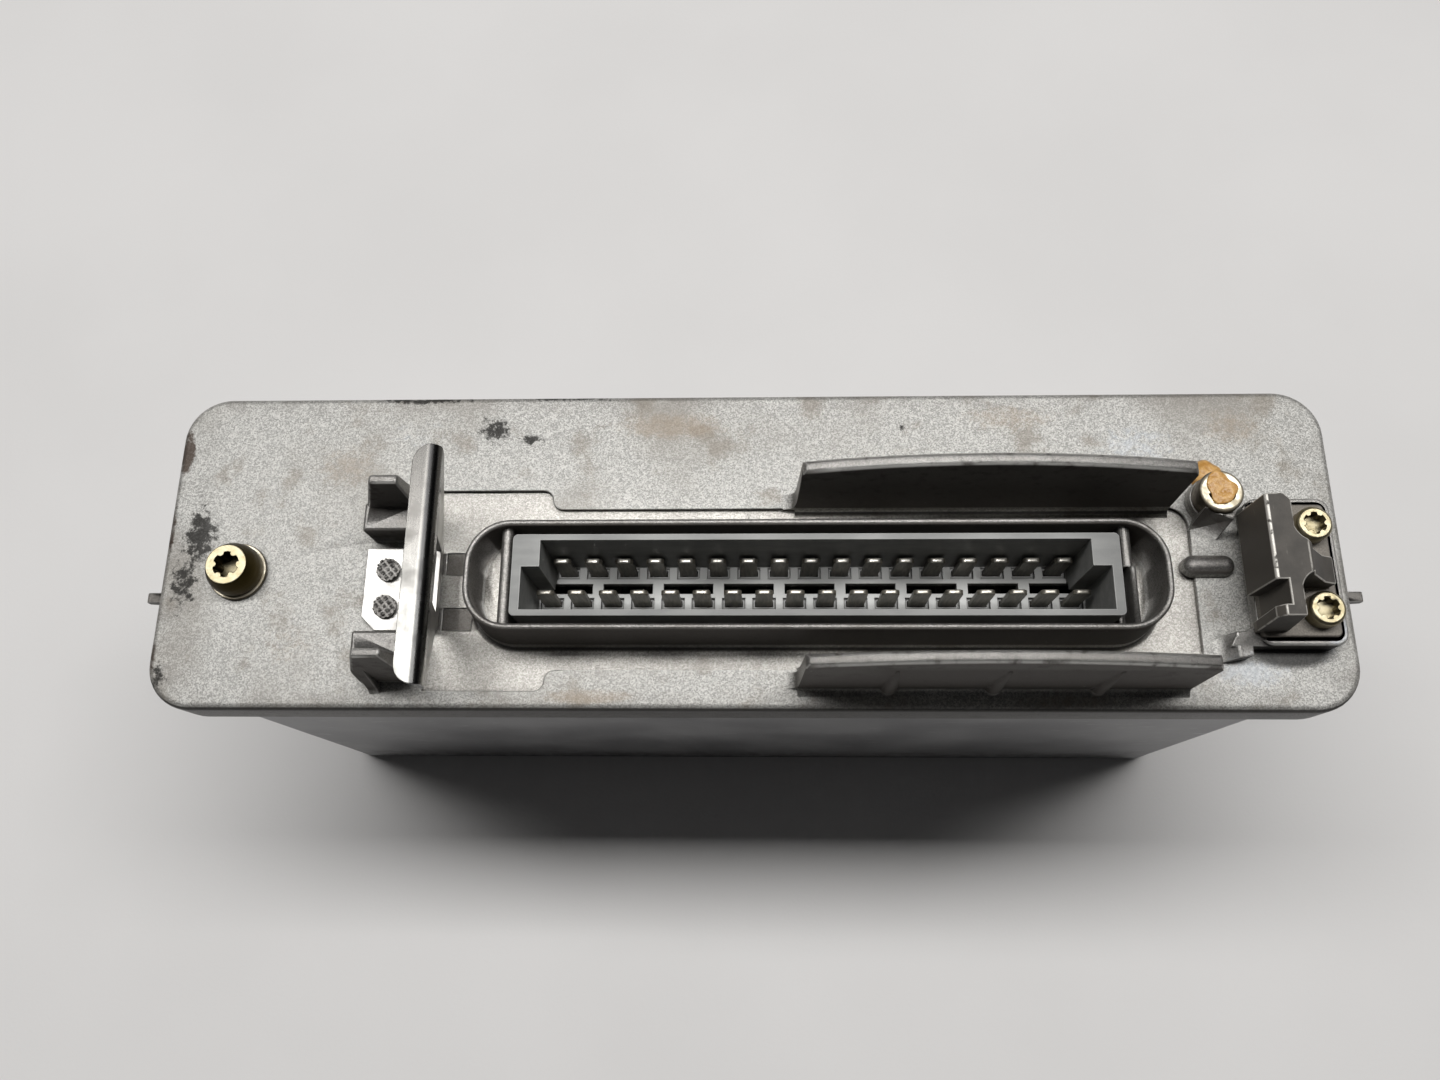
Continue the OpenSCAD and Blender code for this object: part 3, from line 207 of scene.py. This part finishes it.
MM = 0.001
FAR = 500  # millimetres, beyond the whole part
SEAM = 0.001 * MM  # points this close are one
FLAT = math.radians(0.4)  # faces that turn less are one
OUTER_CORNER = math.radians(32)  # edges that turn more are broken
CREASE = math.radians(40)  # edges that turn more are shaded sharp
RUBBED_BESIDE = 0.15  # wear on the faces beside a broken edge
TRIES = 4
ROOM = 5  # widths of break that an edge needs round a cramped spot
STRAY = 0.6  # widths of break that a point may leave the old surface


def in_box(edge, low, high):
    """True when both ends lie between two corners given in millimetres."""
    return all(low[i] * MM <= v.co[i] <= high[i] * MM for v in edge.verts for i in range(3))


def near_any(edge, points, reach):
    """True when an end lies within reach of one of the points."""
    return any((v.co - point).length < reach for v in edge.verts for point in points)


def soften(name, width, wider=()):
    """A copy of a CAD piece with its outer edges broken by width, which stands for it.
    wider lists (width, low corner, high corner) of boxes in millimetres with more rounding.
    Edges that have no room for the break stay sharp."""
    whole = bmesh.new()
    whole.from_mesh(nodes[name].data)
    bmesh.ops.remove_doubles(whole, verts=whole.verts, dist=SEAM)
    bmesh.ops.dissolve_limit(whole, angle_limit=FLAT, verts=whole.verts, edges=whole.edges)
    whole.verts.layers.float.new("rubbed")
    for broken, low, high in [*wider, (width, [-FAR] * 3, [FAR] * 3)]:
        near = BVHTree.FromBMesh(whole)
        cramped = []
        for attempt in range(TRIES):
            skin = whole.copy()
            worn = skin.verts.layers.float["rubbed"]
            outer = [e for e in skin.edges if len(e.link_faces) == 2
                     and e.calc_face_angle_signed() > OUTER_CORNER
                     and in_box(e, low, high) and not near_any(e, cramped, ROOM * broken)]
            made = bmesh.ops.bevel(skin, geom=outer, offset=broken, offset_type="OFFSET",
                                   segments=3 if broken > width else 2, profile=0.5, affect="EDGES",
                                   clamp_overlap=False, miter_outer="SHARP", miter_inner="SHARP")
            band = set(made["faces"])
            for v in made["verts"]:
                v[worn] = 1.0 if all(f in band for f in v.link_faces) else RUBBED_BESIDE
            strays = [v.co.copy() for v in skin.verts
                      if near.find_nearest(v.co)[3] > STRAY * broken]
            if not strays:
                break
            cramped += strays
        whole = skin
    short = [e for e in whole.edges if e.calc_length() < SEAM]
    bmesh.ops.dissolve_degenerate(whole, dist=SEAM, edges=short)
    mesh = bpy.data.meshes.new(name + "_body")
    whole.to_mesh(mesh)
    mesh.shade_smooth()
    mesh.set_sharp_from_angle(angle=CREASE)
    piece = bpy.data.objects.new(name + "_body", mesh)
    bpy.context.collection.objects.link(piece)
    piece.modifiers.new("even light", "WEIGHTED_NORMAL").keep_sharp = True
    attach(piece, "root")
    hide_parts(name)
    return piece


def rubbed_edges(place):
    """1 along broken edges, a trace on the faces beside them, 0 elsewhere."""
    return place.node("ShaderNodeAttribute", {"attribute_name": "rubbed"}, None, "Fac")


material, surface, place = finish("drawn aluminium")
drawn = place.stretch(1, 1, 0.03).noise(0.0005, 3, 0.6)
scuffs = place.stretch(0.25, 1, 1).noise(0.0016, 5, 0.65).step(0.58, 0.72)
clouds = place.noise(0.022, 4)
low_dirt = place.axis("Z").step(0.02, 0.0) * place.noise(0.004, 4).step(0.4, 0.6)
skin = clouds.step(0.3, 0.7).blend(tone(128, 128, 130), tone(150, 150, 151))
skin = (0.3 * scuffs).blend(skin, tone(182, 182, 182))
skin = (0.35 * low_dirt).blend(skin, tone(84, 78, 70))
place.feed(surface, {
    "Base Color": skin,
    "Metallic": 0.9,
    "Roughness": 0.36 + 0.16 * clouds + 0.15 * low_dirt - 0.1 * scuffs,
    "Normal": place.bump(drawn + 2.0 * clouds, 0.00003),
})
soften("can", 0.3 * MM).data.materials.append(material)


# Sealing bead
# Black sealing compound laid by nozzle into the groove between the skirt of
# the plate and the can. It sets to a dull, slightly lumpy rubber.

material, surface, place = finish("set sealing rubber")
lumps = place.noise(0.0015, 3)
place.feed(surface, {
    "Base Color": lumps.blend(tone(34, 33, 32), tone(54, 52, 50)),
    "Roughness": 0.5 + 0.25 * lumps,
    "Normal": place.bump(lumps, 0.0002),
})
wear(material, "seal_bead")


# End plate
# Die-cast aluminium: flange, socket collar, guard walls, latch towers, hook
# tray and boss are one casting. The flange is sanded to a fine speckle, the
# raised walls keep the darker skin of the die, and edges are rubbed bright.
# The walls' front faces, the corners and a few places in shade are painted darker: painted shade.

face_z = 91 * MM


def spots(place, *marks):
    """Where stains, and the painted shadow in front of the hook tray, lie on the face:
    each mark has x, y, width and depth in millimetres, and its strength."""
    most = None
    for x, y, across, along, strength in marks:
        dx = (place.axis("X") - x * MM) / (across * MM)
        dy = (place.axis("Y") - y * MM) / (along * MM)
        near = strength * ((dx * dx + dy * dy) ** 0.5).step(1.0, 0.1)
        most = near if most is None else most.most(near)
    return most


def openness(place, reach):
    """1 on open surfaces, less in corners."""
    return place.node("ShaderNodeAmbientOcclusion", {"samples": 2}, {"Distance": reach}, "AO")


material, surface, place = finish("cast aluminium")
height = place.axis("Z")
raised = height.step(face_z + 0.5 * MM, face_z + 1.4 * MM)
pocket = height.step(face_z - 0.35 * MM, face_z - 0.75 * MM)
rubbed = rubbed_edges(place) * place.noise(0.002, 3).step(0.25, 0.5)
# Corners and hollows are darkened with dirt and painted shade.
corner_dirt_and_shade = 1 - openness(place, 1.0 * MM)

speckle = place.grains(0.0002)
fine = place.noise(0.00014, 2, 0.6)
facing = place.normal("Y")
clouds = place.noise(0.022, 4, 0.55)
patches = place.noise(0.0075, 5, 0.62)
grit = 0.45 * speckle + 0.55 * fine

sanded = grit.step(0.25, 0.8).blend(tone(146, 145, 141), tone(204, 202, 197))
sanded = (0.7 * clouds.step(0.45, 0.75)).blend(sanded, tone(142, 137, 129))
sanded = (0.5 * patches.step(0.54, 0.7)).blend(sanded, tone(128, 119, 106))
skin = grit.step(0.2, 0.8).blend(tone(112, 110, 107), tone(146, 143, 139))
skin = (0.5 * patches.step(0.45, 0.7)).blend(skin, tone(108, 103, 97))
# Faces of the raised walls that look to the front are painted darker: painted shade.
front = raised * facing.step(-0.4, -0.8)
skin = (0.85 * front).blend(skin, tone(72, 67, 62))
well = grit.step(0.2, 0.85).blend(tone(136, 133, 128), tone(180, 177, 171))
well = (0.35 * patches.step(0.5, 0.7)).blend(well, tone(112, 106, 99))

metal = raised.blend(pocket.blend(sanded, well), skin)
out_x = place.axis("X").away()
out_y = place.axis("Y").away()
border = out_x.step(86 * MM, 95 * MM).most(out_y.step(22 * MM, 26.6 * MM)) * (1 - raised)
border = border * place.noise(0.006, 4, 0.6).step(0.35, 0.65)
metal = (0.35 * border).blend(metal, tone(112, 106, 99))
pegs = out_x.step(95.2 * MM, 95.5 * MM)
metal = pegs.blend(metal, tone(74, 70, 66))

crumbs = place.noise(0.0013, 6, 0.72) - 0.5
soot = spots(place, (-89.5, 2, 5, 8, 0.85), (-91, -6, 4, 8, 0.7), (-41.8, 20.5, 4.5, 4, 0.75),
             (-35.6, 18.6, 3.4, 1.8, 0.7), (-54, 26.2, 14, 1.5, 0.85), (-30, 26.4, 16, 1.2, 0.7),
             (26, 20.5, 1.2, 1.2, 0.6), (-93, -22, 3, 5, 0.55))
soot = (0.8 * soot + 2.2 * crumbs).step(0.26, 0.6)
soot = soot * height.step(face_z - 2.5 * MM, face_z - 0.6 * MM)
rust = spots(place, (-93.8, 16.5, 2.4, 7, 0.9), (-94.4, 3, 1.4, 9, 0.6), (-94.4, -18, 1.4, 6, 0.6))
rust = (rust + 1.3 * crumbs).step(0.34, 0.7)
brown = spots(place, (-12, 21, 18, 5, 0.7), (-66, 14, 12, 8, 0.55), (44, 22, 16, 5, 0.6),
              (80, 20, 10, 7, 0.6), (-24, -24.5, 14, 2.4, 0.75), (-72, -16, 12, 8, 0.45),
              (50, -25, 18, 2.4, 0.5))
brown = (brown + 1.1 * crumbs).step(0.3, 0.75)
oxide = spots(place, (78, -20.5, 12, 5, 0.7), (90, -14, 5, 9, 0.7), (64, 17, 14, 9, 0.55),
              (-55, 20, 16, 7, 0.4))
oxide = (oxide + 1.3 * crumbs).step(0.36, 0.75)
scratches = place.stretch(1, 0.12, 1).noise(0.0006, 3, 0.6).step(0.7, 0.76)
scratches = scratches * clouds.step(0.5, 0.62)

# Painted shade, deeper than these lamps give: the two pockets beside the latch,
# the skirt, the front of the hook tray and the top of the front guard.
socket_y = -7.3 * MM
along_latch = place.axis("X")
across_latch = place.axis("Y").away(socket_y)
channel = along_latch.step(-42.2 * MM, -42.6 * MM) * along_latch.step(-50.4 * MM, -49.6 * MM)
channel = channel * across_latch.step(2.6 * MM, 3.0 * MM) * across_latch.step(6.6 * MM, 6.2 * MM)
channel = pocket * channel
skirt = height.step(face_z - 0.15 * MM, face_z - 0.4 * MM) * facing.step(-0.2, -0.7)
under_tray = spots(place, (84.5, -17.6, 11, 4, 1.0)).step(0.25, 0.75)
under_tray = under_tray * height.step(face_z + 3.2 * MM, face_z + 2.6 * MM)
upward = place.normal("Z").step(0.5, 0.9)
guard_top = raised * upward * place.axis("Y").step(-19.5 * MM, -20.5 * MM)

# Stains, scratches and rubbed edges, together with the painted shade above, are laid over the
# metal.
for amount, overlay_tone in (
    (0.4 * brown, tone(148, 130, 108)),
    (0.35 * oxide, tone(196, 204, 214)),
    (0.45 * scratches, tone(226, 225, 222)),
    (0.75 * channel, tone(70, 66, 62)),
    (0.88 * soot, tone(32, 30, 28)),
    (0.85 * rust, tone(60, 43, 30)),
    (0.9 * skirt, tone(34, 32, 30)),
    (0.6 * corner_dirt_and_shade, tone(52, 48, 44)),
    (0.9 * under_tray, tone(28, 27, 26)),
    (0.5 * guard_top, tone(92, 89, 85)),
    (0.6 * rubbed, tone(214, 212, 207)),
):
    metal = amount.blend(metal, overlay_tone)

# Soot and the painted shadow in front of the hook tray dull the metal.
soot_and_shadow = 0.3 * soot + 0.5 * under_tray
place.feed(surface, {
    "Base Color": metal,
    "Metallic": 0.6 + 0.25 * raised + 0.3 * pocket - 0.75 * front - 0.6 * skirt - soot_and_shadow,
    "Specular IOR Level": 0.2,
    "Roughness": (0.54 - 0.12 * raised - 0.15 * pocket + 0.16 * (fine - 0.5) + 0.15 * soot
                  - 0.06 * rubbed + 0.25 * front),
    "Normal": place.bump(0.5 * speckle + fine, 0.00005),
})
guards = [(0.7 * MM, (7, 5.4, 93.5), (70, 10, 112)),
          (0.7 * MM, (7, -25, 93.5), (70, -20, 112))]
towers = (0.5 * MM, (-65, -30, 93), (-48, 15, 110))
collar_rim = (0.36 * MM, (-43, -16.5, 100.5), (65, 2, 102))
tray_rim = (0.36 * MM, (76, -18, 93.6), (93, 8, 95))
soften("end_plate", 0.25 * MM,
       [*guards, towers, collar_rim, tray_rim]).data.materials.append(material)


# Connector header
# Moulded from grey glass-filled plastic and potted into the collar. Rubbed lighter
# on its rims; the pits hold dust and painted shade, and the bench a painted light.

material, surface, place = finish("grey glass-filled plastic")
rubbed = rubbed_edges(place)
open_air = openness(place, 2.5 * MM)
flow = place.stretch(0.3, 1, 1).noise(0.002, 4)
fine = place.noise(0.00018, 2)
grey = flow.step(0.3, 0.7).blend(tone(96, 96, 94), tone(112, 112, 109))
height = place.axis("Z")
# The bench level is painted lighter: painted light.
bench = height.step(face_z - 5.4 * MM, face_z - 5.9 * MM)
bench = bench * height.step(face_z - 6.6 * MM, face_z - 6.1 * MM)
grey = (0.7 * bench).blend(grey, tone(168, 168, 165))
# Hollows are darkened with dust and painted shade.
grey = (0.45 * (1 - open_air)).blend(grey, tone(58, 56, 54))
grey = (0.6 * rubbed).blend(grey, tone(196, 196, 193))
place.feed(surface, {
    "Base Color": grey,
    "Roughness": 0.46 + 0.18 * fine,
    "Normal": place.bump(fine, 0.00002),
})
soften("connector_header", 0.15 * MM).data.materials.append(material)


# Contacts
# Two rows of flat tabs stamped from tinned brass, pressed into the header.
# The tin has gone brown-grey on the sides. The tips are lighter where the plug rubs
# and as painted highlight, and the rear tips are painted paler still: painted light.

material, surface, place = finish("tinned brass")
streaks = place.stretch(1, 1, 0.15).noise(0.0004, 3)
tip = place.axis("Z").step(face_z + 0.7 * MM, face_z + 0.95 * MM)
tin = streaks.step(0.3, 0.75).blend(tone(84, 80, 72), tone(126, 121, 110))
# Rear-row tips get a paler tone: painted light.
rear = place.axis("Y").step(-6 * MM, -5 * MM)
tin = (0.8 * tip).blend(tin, rear.blend(tone(146, 142, 133), tone(220, 216, 206)))
place.feed(surface, {
    "Base Color": tin,
    "Metallic": 0.7,
    "Roughness": 0.34 + 0.2 * streaks - 0.1 * tip,
    "Normal": place.bump(streaks, 0.00002),
})
tips = (0.25 * MM, (-FAR, -FAR, 91.9), (FAR, FAR, 92.2))
for name in ("rear_contacts", "front_contacts"):
    soften(name, 0.08 * MM, [tips]).data.materials.append(material)


# Latch spring
# Bright spring steel strip, folded twice and set under two cast rivets. Its
# rolled surface has fine lines along the lip. The lip is painted darker toward
# the rear and a dark line is painted along its bend: painted reflections.

material, surface, place = finish("bright spring steel")
lines = place.stretch(1, 0.04, 1).noise(0.00025, 3, 0.6)
dull = place.noise(0.004, 4, 0.6).step(0.45, 0.7)
steel = dull.blend(tone(206, 205, 202), tone(182, 180, 176))
lip = place.axis("Z").step(face_z + 13 * MM, face_z + 14 * MM)
# A dark line along the bend beside the lip: a painted reflection.
fold = place.axis("X").step(-47.3 * MM, -46.8 * MM) * place.axis("X").step(-45.7 * MM, -46.0 * MM)
fold = lip * fold
# The lip grows darker toward the rear: a painted reflection.
along = (place.axis("Y") + 1.5 * MM * place.noise(0.004, 3)).step(-22 * MM, 0 * MM)
steel = (0.8 * (1 - lip)).blend(steel, tone(128, 126, 122))
steel = (0.97 * lip).blend(steel, along.blend(tone(134, 133, 129), tone(88, 86, 83)))
steel = (0.85 * fold).blend(steel, tone(40, 40, 41))
place.feed(surface, {
    "Base Color": steel,
    "Metallic": 1.0,
    "Roughness": 0.3 + 0.08 * lines + 0.1 * dull - 0.08 * lip,
    "Normal": place.bump(lines, 0.00001),
})
soften("latch_spring", 0.1 * MM).data.materials.append(material)


# Hook block
# Dark die-cast block that takes the nose of the plug. The dark coat is rubbed
# through to bright metal along the edges, most on the nose. Two screws hold
# its base, which is paler, in the tray of the plate.

material, surface, place = finish("dark coated casting")
fine = place.noise(0.00025, 3)
rubbed = rubbed_edges(place).step(0.2, 0.9) * place.noise(0.0016, 4).step(0.3, 0.5)
scratches = place.stretch(1, 0.15, 0.4).noise(0.0005, 4, 0.6).step(0.66, 0.74)
coat = place.noise(0.003, 4).step(0.3, 0.75).blend(tone(74, 71, 67), tone(88, 84, 79))
# Faces that look to the left are painted lighter: painted light.
left = place.normal("X").step(-0.5, -0.8)
coat = (0.7 * left).blend(coat, tone(96, 91, 84))
coat = (0.25 * scratches).blend(coat, tone(150, 146, 138))
height = place.axis("Z")
nose = place.axis("X").step(77.6 * MM, 77.4 * MM)
nose = nose * height.step(face_z + 14.1 * MM, face_z + 14.3 * MM)
rubbed = rubbed.most(nose * place.noise(0.0012, 4).step(0.3, 0.42))
coat = (0.9 * rubbed).blend(coat, tone(206, 202, 194))
base = height.step(face_z + 4.3 * MM, face_z + 4.1 * MM)
pale = fine.step(0.3, 0.7).blend(tone(112, 107, 100), tone(140, 134, 126))
coat = (0.85 * base).blend(coat, pale)
place.feed(surface, {
    "Base Color": coat,
    "Metallic": 0.15 + 0.2 * rubbed + 0.4 * base,
    "Specular IOR Level": 0.3,
    "Roughness": 0.56 + 0.15 * fine - 0.2 * rubbed,
    "Normal": place.bump(fine, 0.00003),
})
nose_edge = (0.5 * MM, (73, -20, 105), (77.4, 10, 106))
soften("hook_block", 0.3 * MM, [nose_edge]).data.materials.append(material)


# Yellow screws
# The two hook screws and the bracket bolt: steel, zinc plated and yellow
# passivated, with six-lobe recesses. The recesses are darkened with dirt and
# painted shade, and the bolt's sides are painted darker: painted shade.

material, surface, place = finish("yellow zinc")
open_air = openness(place, 3 * MM)
fine = place.noise(0.0003, 3)
clouds = place.noise(0.0018, 4)
zinc = clouds.step(0.3, 0.7).blend(tone(142, 132, 104), tone(164, 156, 132))
left_bolt = place.axis("X").step(-60 * MM, -70 * MM)
upward = place.normal("Z")
# The bolt's sides, which do not face up, are painted darker: painted shade.
zinc = (left_bolt * upward.step(0.8, 0.6)).blend(zinc, tone(70, 60, 34))
# The recesses are darkened with dirt and painted shade.
zinc = ((0.5 + 0.35 * left_bolt) * (1 - open_air)).blend(zinc, tone(48, 40, 26))
place.feed(surface, {
    "Base Color": zinc,
    "Metallic": 1.0,
    "Roughness": 0.3 + 0.2 * fine,
    "Normal": place.bump(fine, 0.00002),
})
for name in ("hook_screws", "bracket_bolt"):
    soften(name, 0.12 * MM).data.materials.append(material)


# Cover screw and bolt washer
# Turned steel screw with a cylinder head that holds the plate to the chassis,
# and the washer of the bolt: plated bright, gone dull and yellowish.

material, surface, place = finish("dull plated steel")
turned = place.noise(0.0003, 3)
dull = place.noise(0.0016, 4).step(0.35, 0.65)
# Faces that do not look up are painted darker than the tops: painted shade.
top = place.normal("Z").step(0.5, 0.9)
place.feed(surface, {
    "Base Color": top.blend(dull.blend(tone(116, 108, 96), tone(92, 84, 72)),
                            dull.blend(tone(206, 198, 180), tone(178, 168, 146))),
    "Metallic": 0.85,
    "Roughness": 0.38 + 0.2 * dull,
    "Normal": place.bump(turned, 0.00002),
})
for name in ("sealed_screw", "bolt_washer"):
    soften(name, 0.2 * MM).data.materials.append(material)


# Sealing compound
# Orange lacquer run into the recess of the cover screw, with a drop beside
# it, so that nobody opens the unit unseen. It set glossy and lumpy.

material, surface, place = finish("orange lacquer")
lumps = place.noise(0.0009, 3)
place.feed(surface, {
    "Base Color": lumps.step(0.3, 0.7).blend(tone(178, 130, 66), tone(208, 164, 100)),
    "Roughness": 0.25 + 0.2 * lumps,
    "Normal": place.bump(lumps, 0.0003),
})


def lathe(name, rings, lacquer):
    """A closed skin over rings of points, each ring one loop; it rides with the part."""
    shape = bmesh.new()
    loops = [[shape.verts.new(point) for point in ring] for ring in rings]
    for a, b in zip(loops, loops[1:]):
        for i in range(len(a)):
            j = (i + 1) % len(a)
            shape.faces.new((a[i], a[j], b[j], b[i]))
    shape.faces.new(loops[0][::-1])
    shape.faces.new(loops[-1])
    bmesh.ops.recalc_face_normals(shape, faces=shape.faces)
    mesh = bpy.data.meshes.new(name)
    shape.to_mesh(mesh)
    mesh.shade_smooth()
    mesh.materials.append(lacquer)
    piece = bpy.data.objects.new(name, mesh)
    bpy.context.collection.objects.link(piece)
    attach(piece, "root")
    return piece


def blob(x, y, foot, across, tall, lean, lumpy):
    """Rings of a set drop: a ragged outline that swells up from its foot."""
    levels, points = 12, 40
    rings = []
    for level in range(levels + 1):
        t = level / levels
        out = math.sqrt(1 - t ** 2.4) * 0.96 + 0.04
        ring = []
        for k in range(points):
            a = math.tau * k / points
            ragged = 1 + lumpy * (0.5 * math.sin(2 * a + 0.7) + 0.6 * math.sin(3 * a + 2.1)
                                  + 0.4 * math.sin(5 * a))
            lump = lumpy * tall * 0.25 * math.sin(3 * a + 4 * t) * t * (1 - t) * 4
            ring.append(((x + across * ragged * out * math.cos(a) + lean[0] * t) * MM,
                         (y + across * ragged * out * math.sin(a) + lean[1] * t) * MM,
                         face_z + (foot + tall * t + lump) * MM))
        rings.append(ring)
    return rings


def plug(x, y, steps):
    """Rings of a filled recess whose last rings spill over the head, farthest to the rear."""
    points = 60
    rings = []
    for across, tall, spill in steps:
        ring = []
        for k in range(points):
            a = math.tau * k / points
            ragged = 1 + spill * (0.1 * math.sin(3 * a + 1) + 0.06 * math.sin(5 * a))
            reach = across * ragged + spill * 1.1 * max(0.0, math.cos(a - 1.8)) ** 4
            ring.append(((x + reach * math.cos(a)) * MM, (y + reach * math.sin(a)) * MM,
                         face_z + tall * MM))
        rings.append(ring)
    return rings


screw_x, screw_y = 74.7, 7.0
in_recess = [(1.5, 4.4, 0), (1.5, 5.98, 0)]
over_head = [(2.2, 6.02, 1), (2.2, 6.1, 1), (2.0, 6.2, 0.9), (1.4, 6.25, 0.5), (0.8, 6.16, 0),
             (0.3, 6.12, 0)]
fill_rings = plug(screw_x, screw_y, in_recess + over_head)
drop_rings = blob(74.6, 11.9, foot=-0.1, across=2.35, tall=2.3, lean=(0.2, -0.2), lumpy=0.12)
fill = lathe("lacquer_fill", fill_rings, material)
drop = lathe("lacquer_drop", drop_rings, material)
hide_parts("sealing_compound")
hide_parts("sealing_compound")


# Table, light and camera
# The unit stands on a plain pale table under a wide soft light from above and
# behind, and a row of small ceiling lights over the socket. The camera looks
# down on the socket end from close by.

material, surface, place = finish("pale table")
cloud = place.noise(0.08, 4)
place.feed(surface, {
    "Base Color": cloud.step(0.3, 0.7).blend(tone(214, 212, 210), tone(218, 216, 214)),
    "Roughness": 0.75 + 0.1 * place.noise(0.001),
    "Normal": place.bump(place.noise(0.0008), 0.00002),
})
table_size = 3.0
mesh = bpy.data.meshes.new("table")
half = table_size / 2
corners = [(-half, -half, 0), (half, -half, 0), (half, half, 0), (-half, half, 0)]
mesh.from_pydata(corners, [], [(0, 1, 2, 3)])
mesh.materials.append(material)
table = bpy.data.objects.new("table", mesh)
bpy.context.collection.objects.link(table)

world = bpy.data.worlds.new("room")
bpy.context.scene.world = world
world.use_nodes = True
tree = world.node_tree
background = next(n for n in tree.nodes if n.type == "BACKGROUND")
toward = Field(tree, tree.nodes.new("ShaderNodeTexCoord").outputs["Generated"])
lit = (0.75 * toward.axis("Z") + 0.6 * toward.axis("Y")).step(-0.3, 0.9)
overhead = toward.axis("Z").step(0.92, 0.97)
room = lit.blend(tone(28, 28, 30), tone(68, 68, 69))
toward.feed(background, {"Color": overhead.blend(room, tone(92, 92, 92)), "Strength": 1.0})


def aim(lamp, target):
    """Turn a lamp to shine at a point."""
    lamp.rotation_euler = (Vector(target) - lamp.location).to_track_quat("-Z", "Y").to_euler()


lamp_data = bpy.data.lights.new("soft box", "AREA")
lamp_data.shape = "RECTANGLE"
lamp_data.size = 1.8
lamp_data.size_y = 0.28
lamp_data.energy = 21
lamp = bpy.data.objects.new("soft box", lamp_data)
bpy.context.collection.objects.link(lamp)
lamp.location = (0.0, 0.315, 1.29)
aim(lamp, (0, 0, 0.09))

for x in [mm * MM for mm in range(-36, 60, 16)]:
    spot_data = bpy.data.lights.new("ceiling spot", "SPOT")
    spot_data.spot_size = math.radians(3.0)
    spot_data.spot_blend = 0.7
    spot_data.shadow_soft_size = 0.004
    spot_data.energy = 4.0
    spot = bpy.data.objects.new("ceiling spot", spot_data)
    bpy.context.collection.objects.link(spot)
    spot.location = (x, 0.0, 0.6)
    aim(spot, (x, -0.005, 0.09))

camera_data = bpy.data.cameras.new("camera")
camera_data.sensor_width = 36.0
camera_data.lens = 28.02
camera_data.clip_start = 0.01
camera = bpy.data.objects.new("camera", camera_data)
bpy.context.collection.objects.link(camera)
roll, yaw, pitch = -0.0028, 0.0347, -0.302
eye = (2.48 * MM, -52.89 * MM, 264.06 * MM)
downward = Matrix.Diagonal((1, -1, -1))
turn = Matrix.Rotation(roll, 3, "Z") @ Matrix.Rotation(yaw, 3, "Y") @ Matrix.Rotation(pitch, 3, "X")
stand = (turn @ downward).transposed() @ downward
camera.matrix_world = Matrix.Translation(eye) @ stand.to_4x4()
bpy.context.scene.camera = camera
bpy.context.scene.view_settings.view_transform = "Standard"
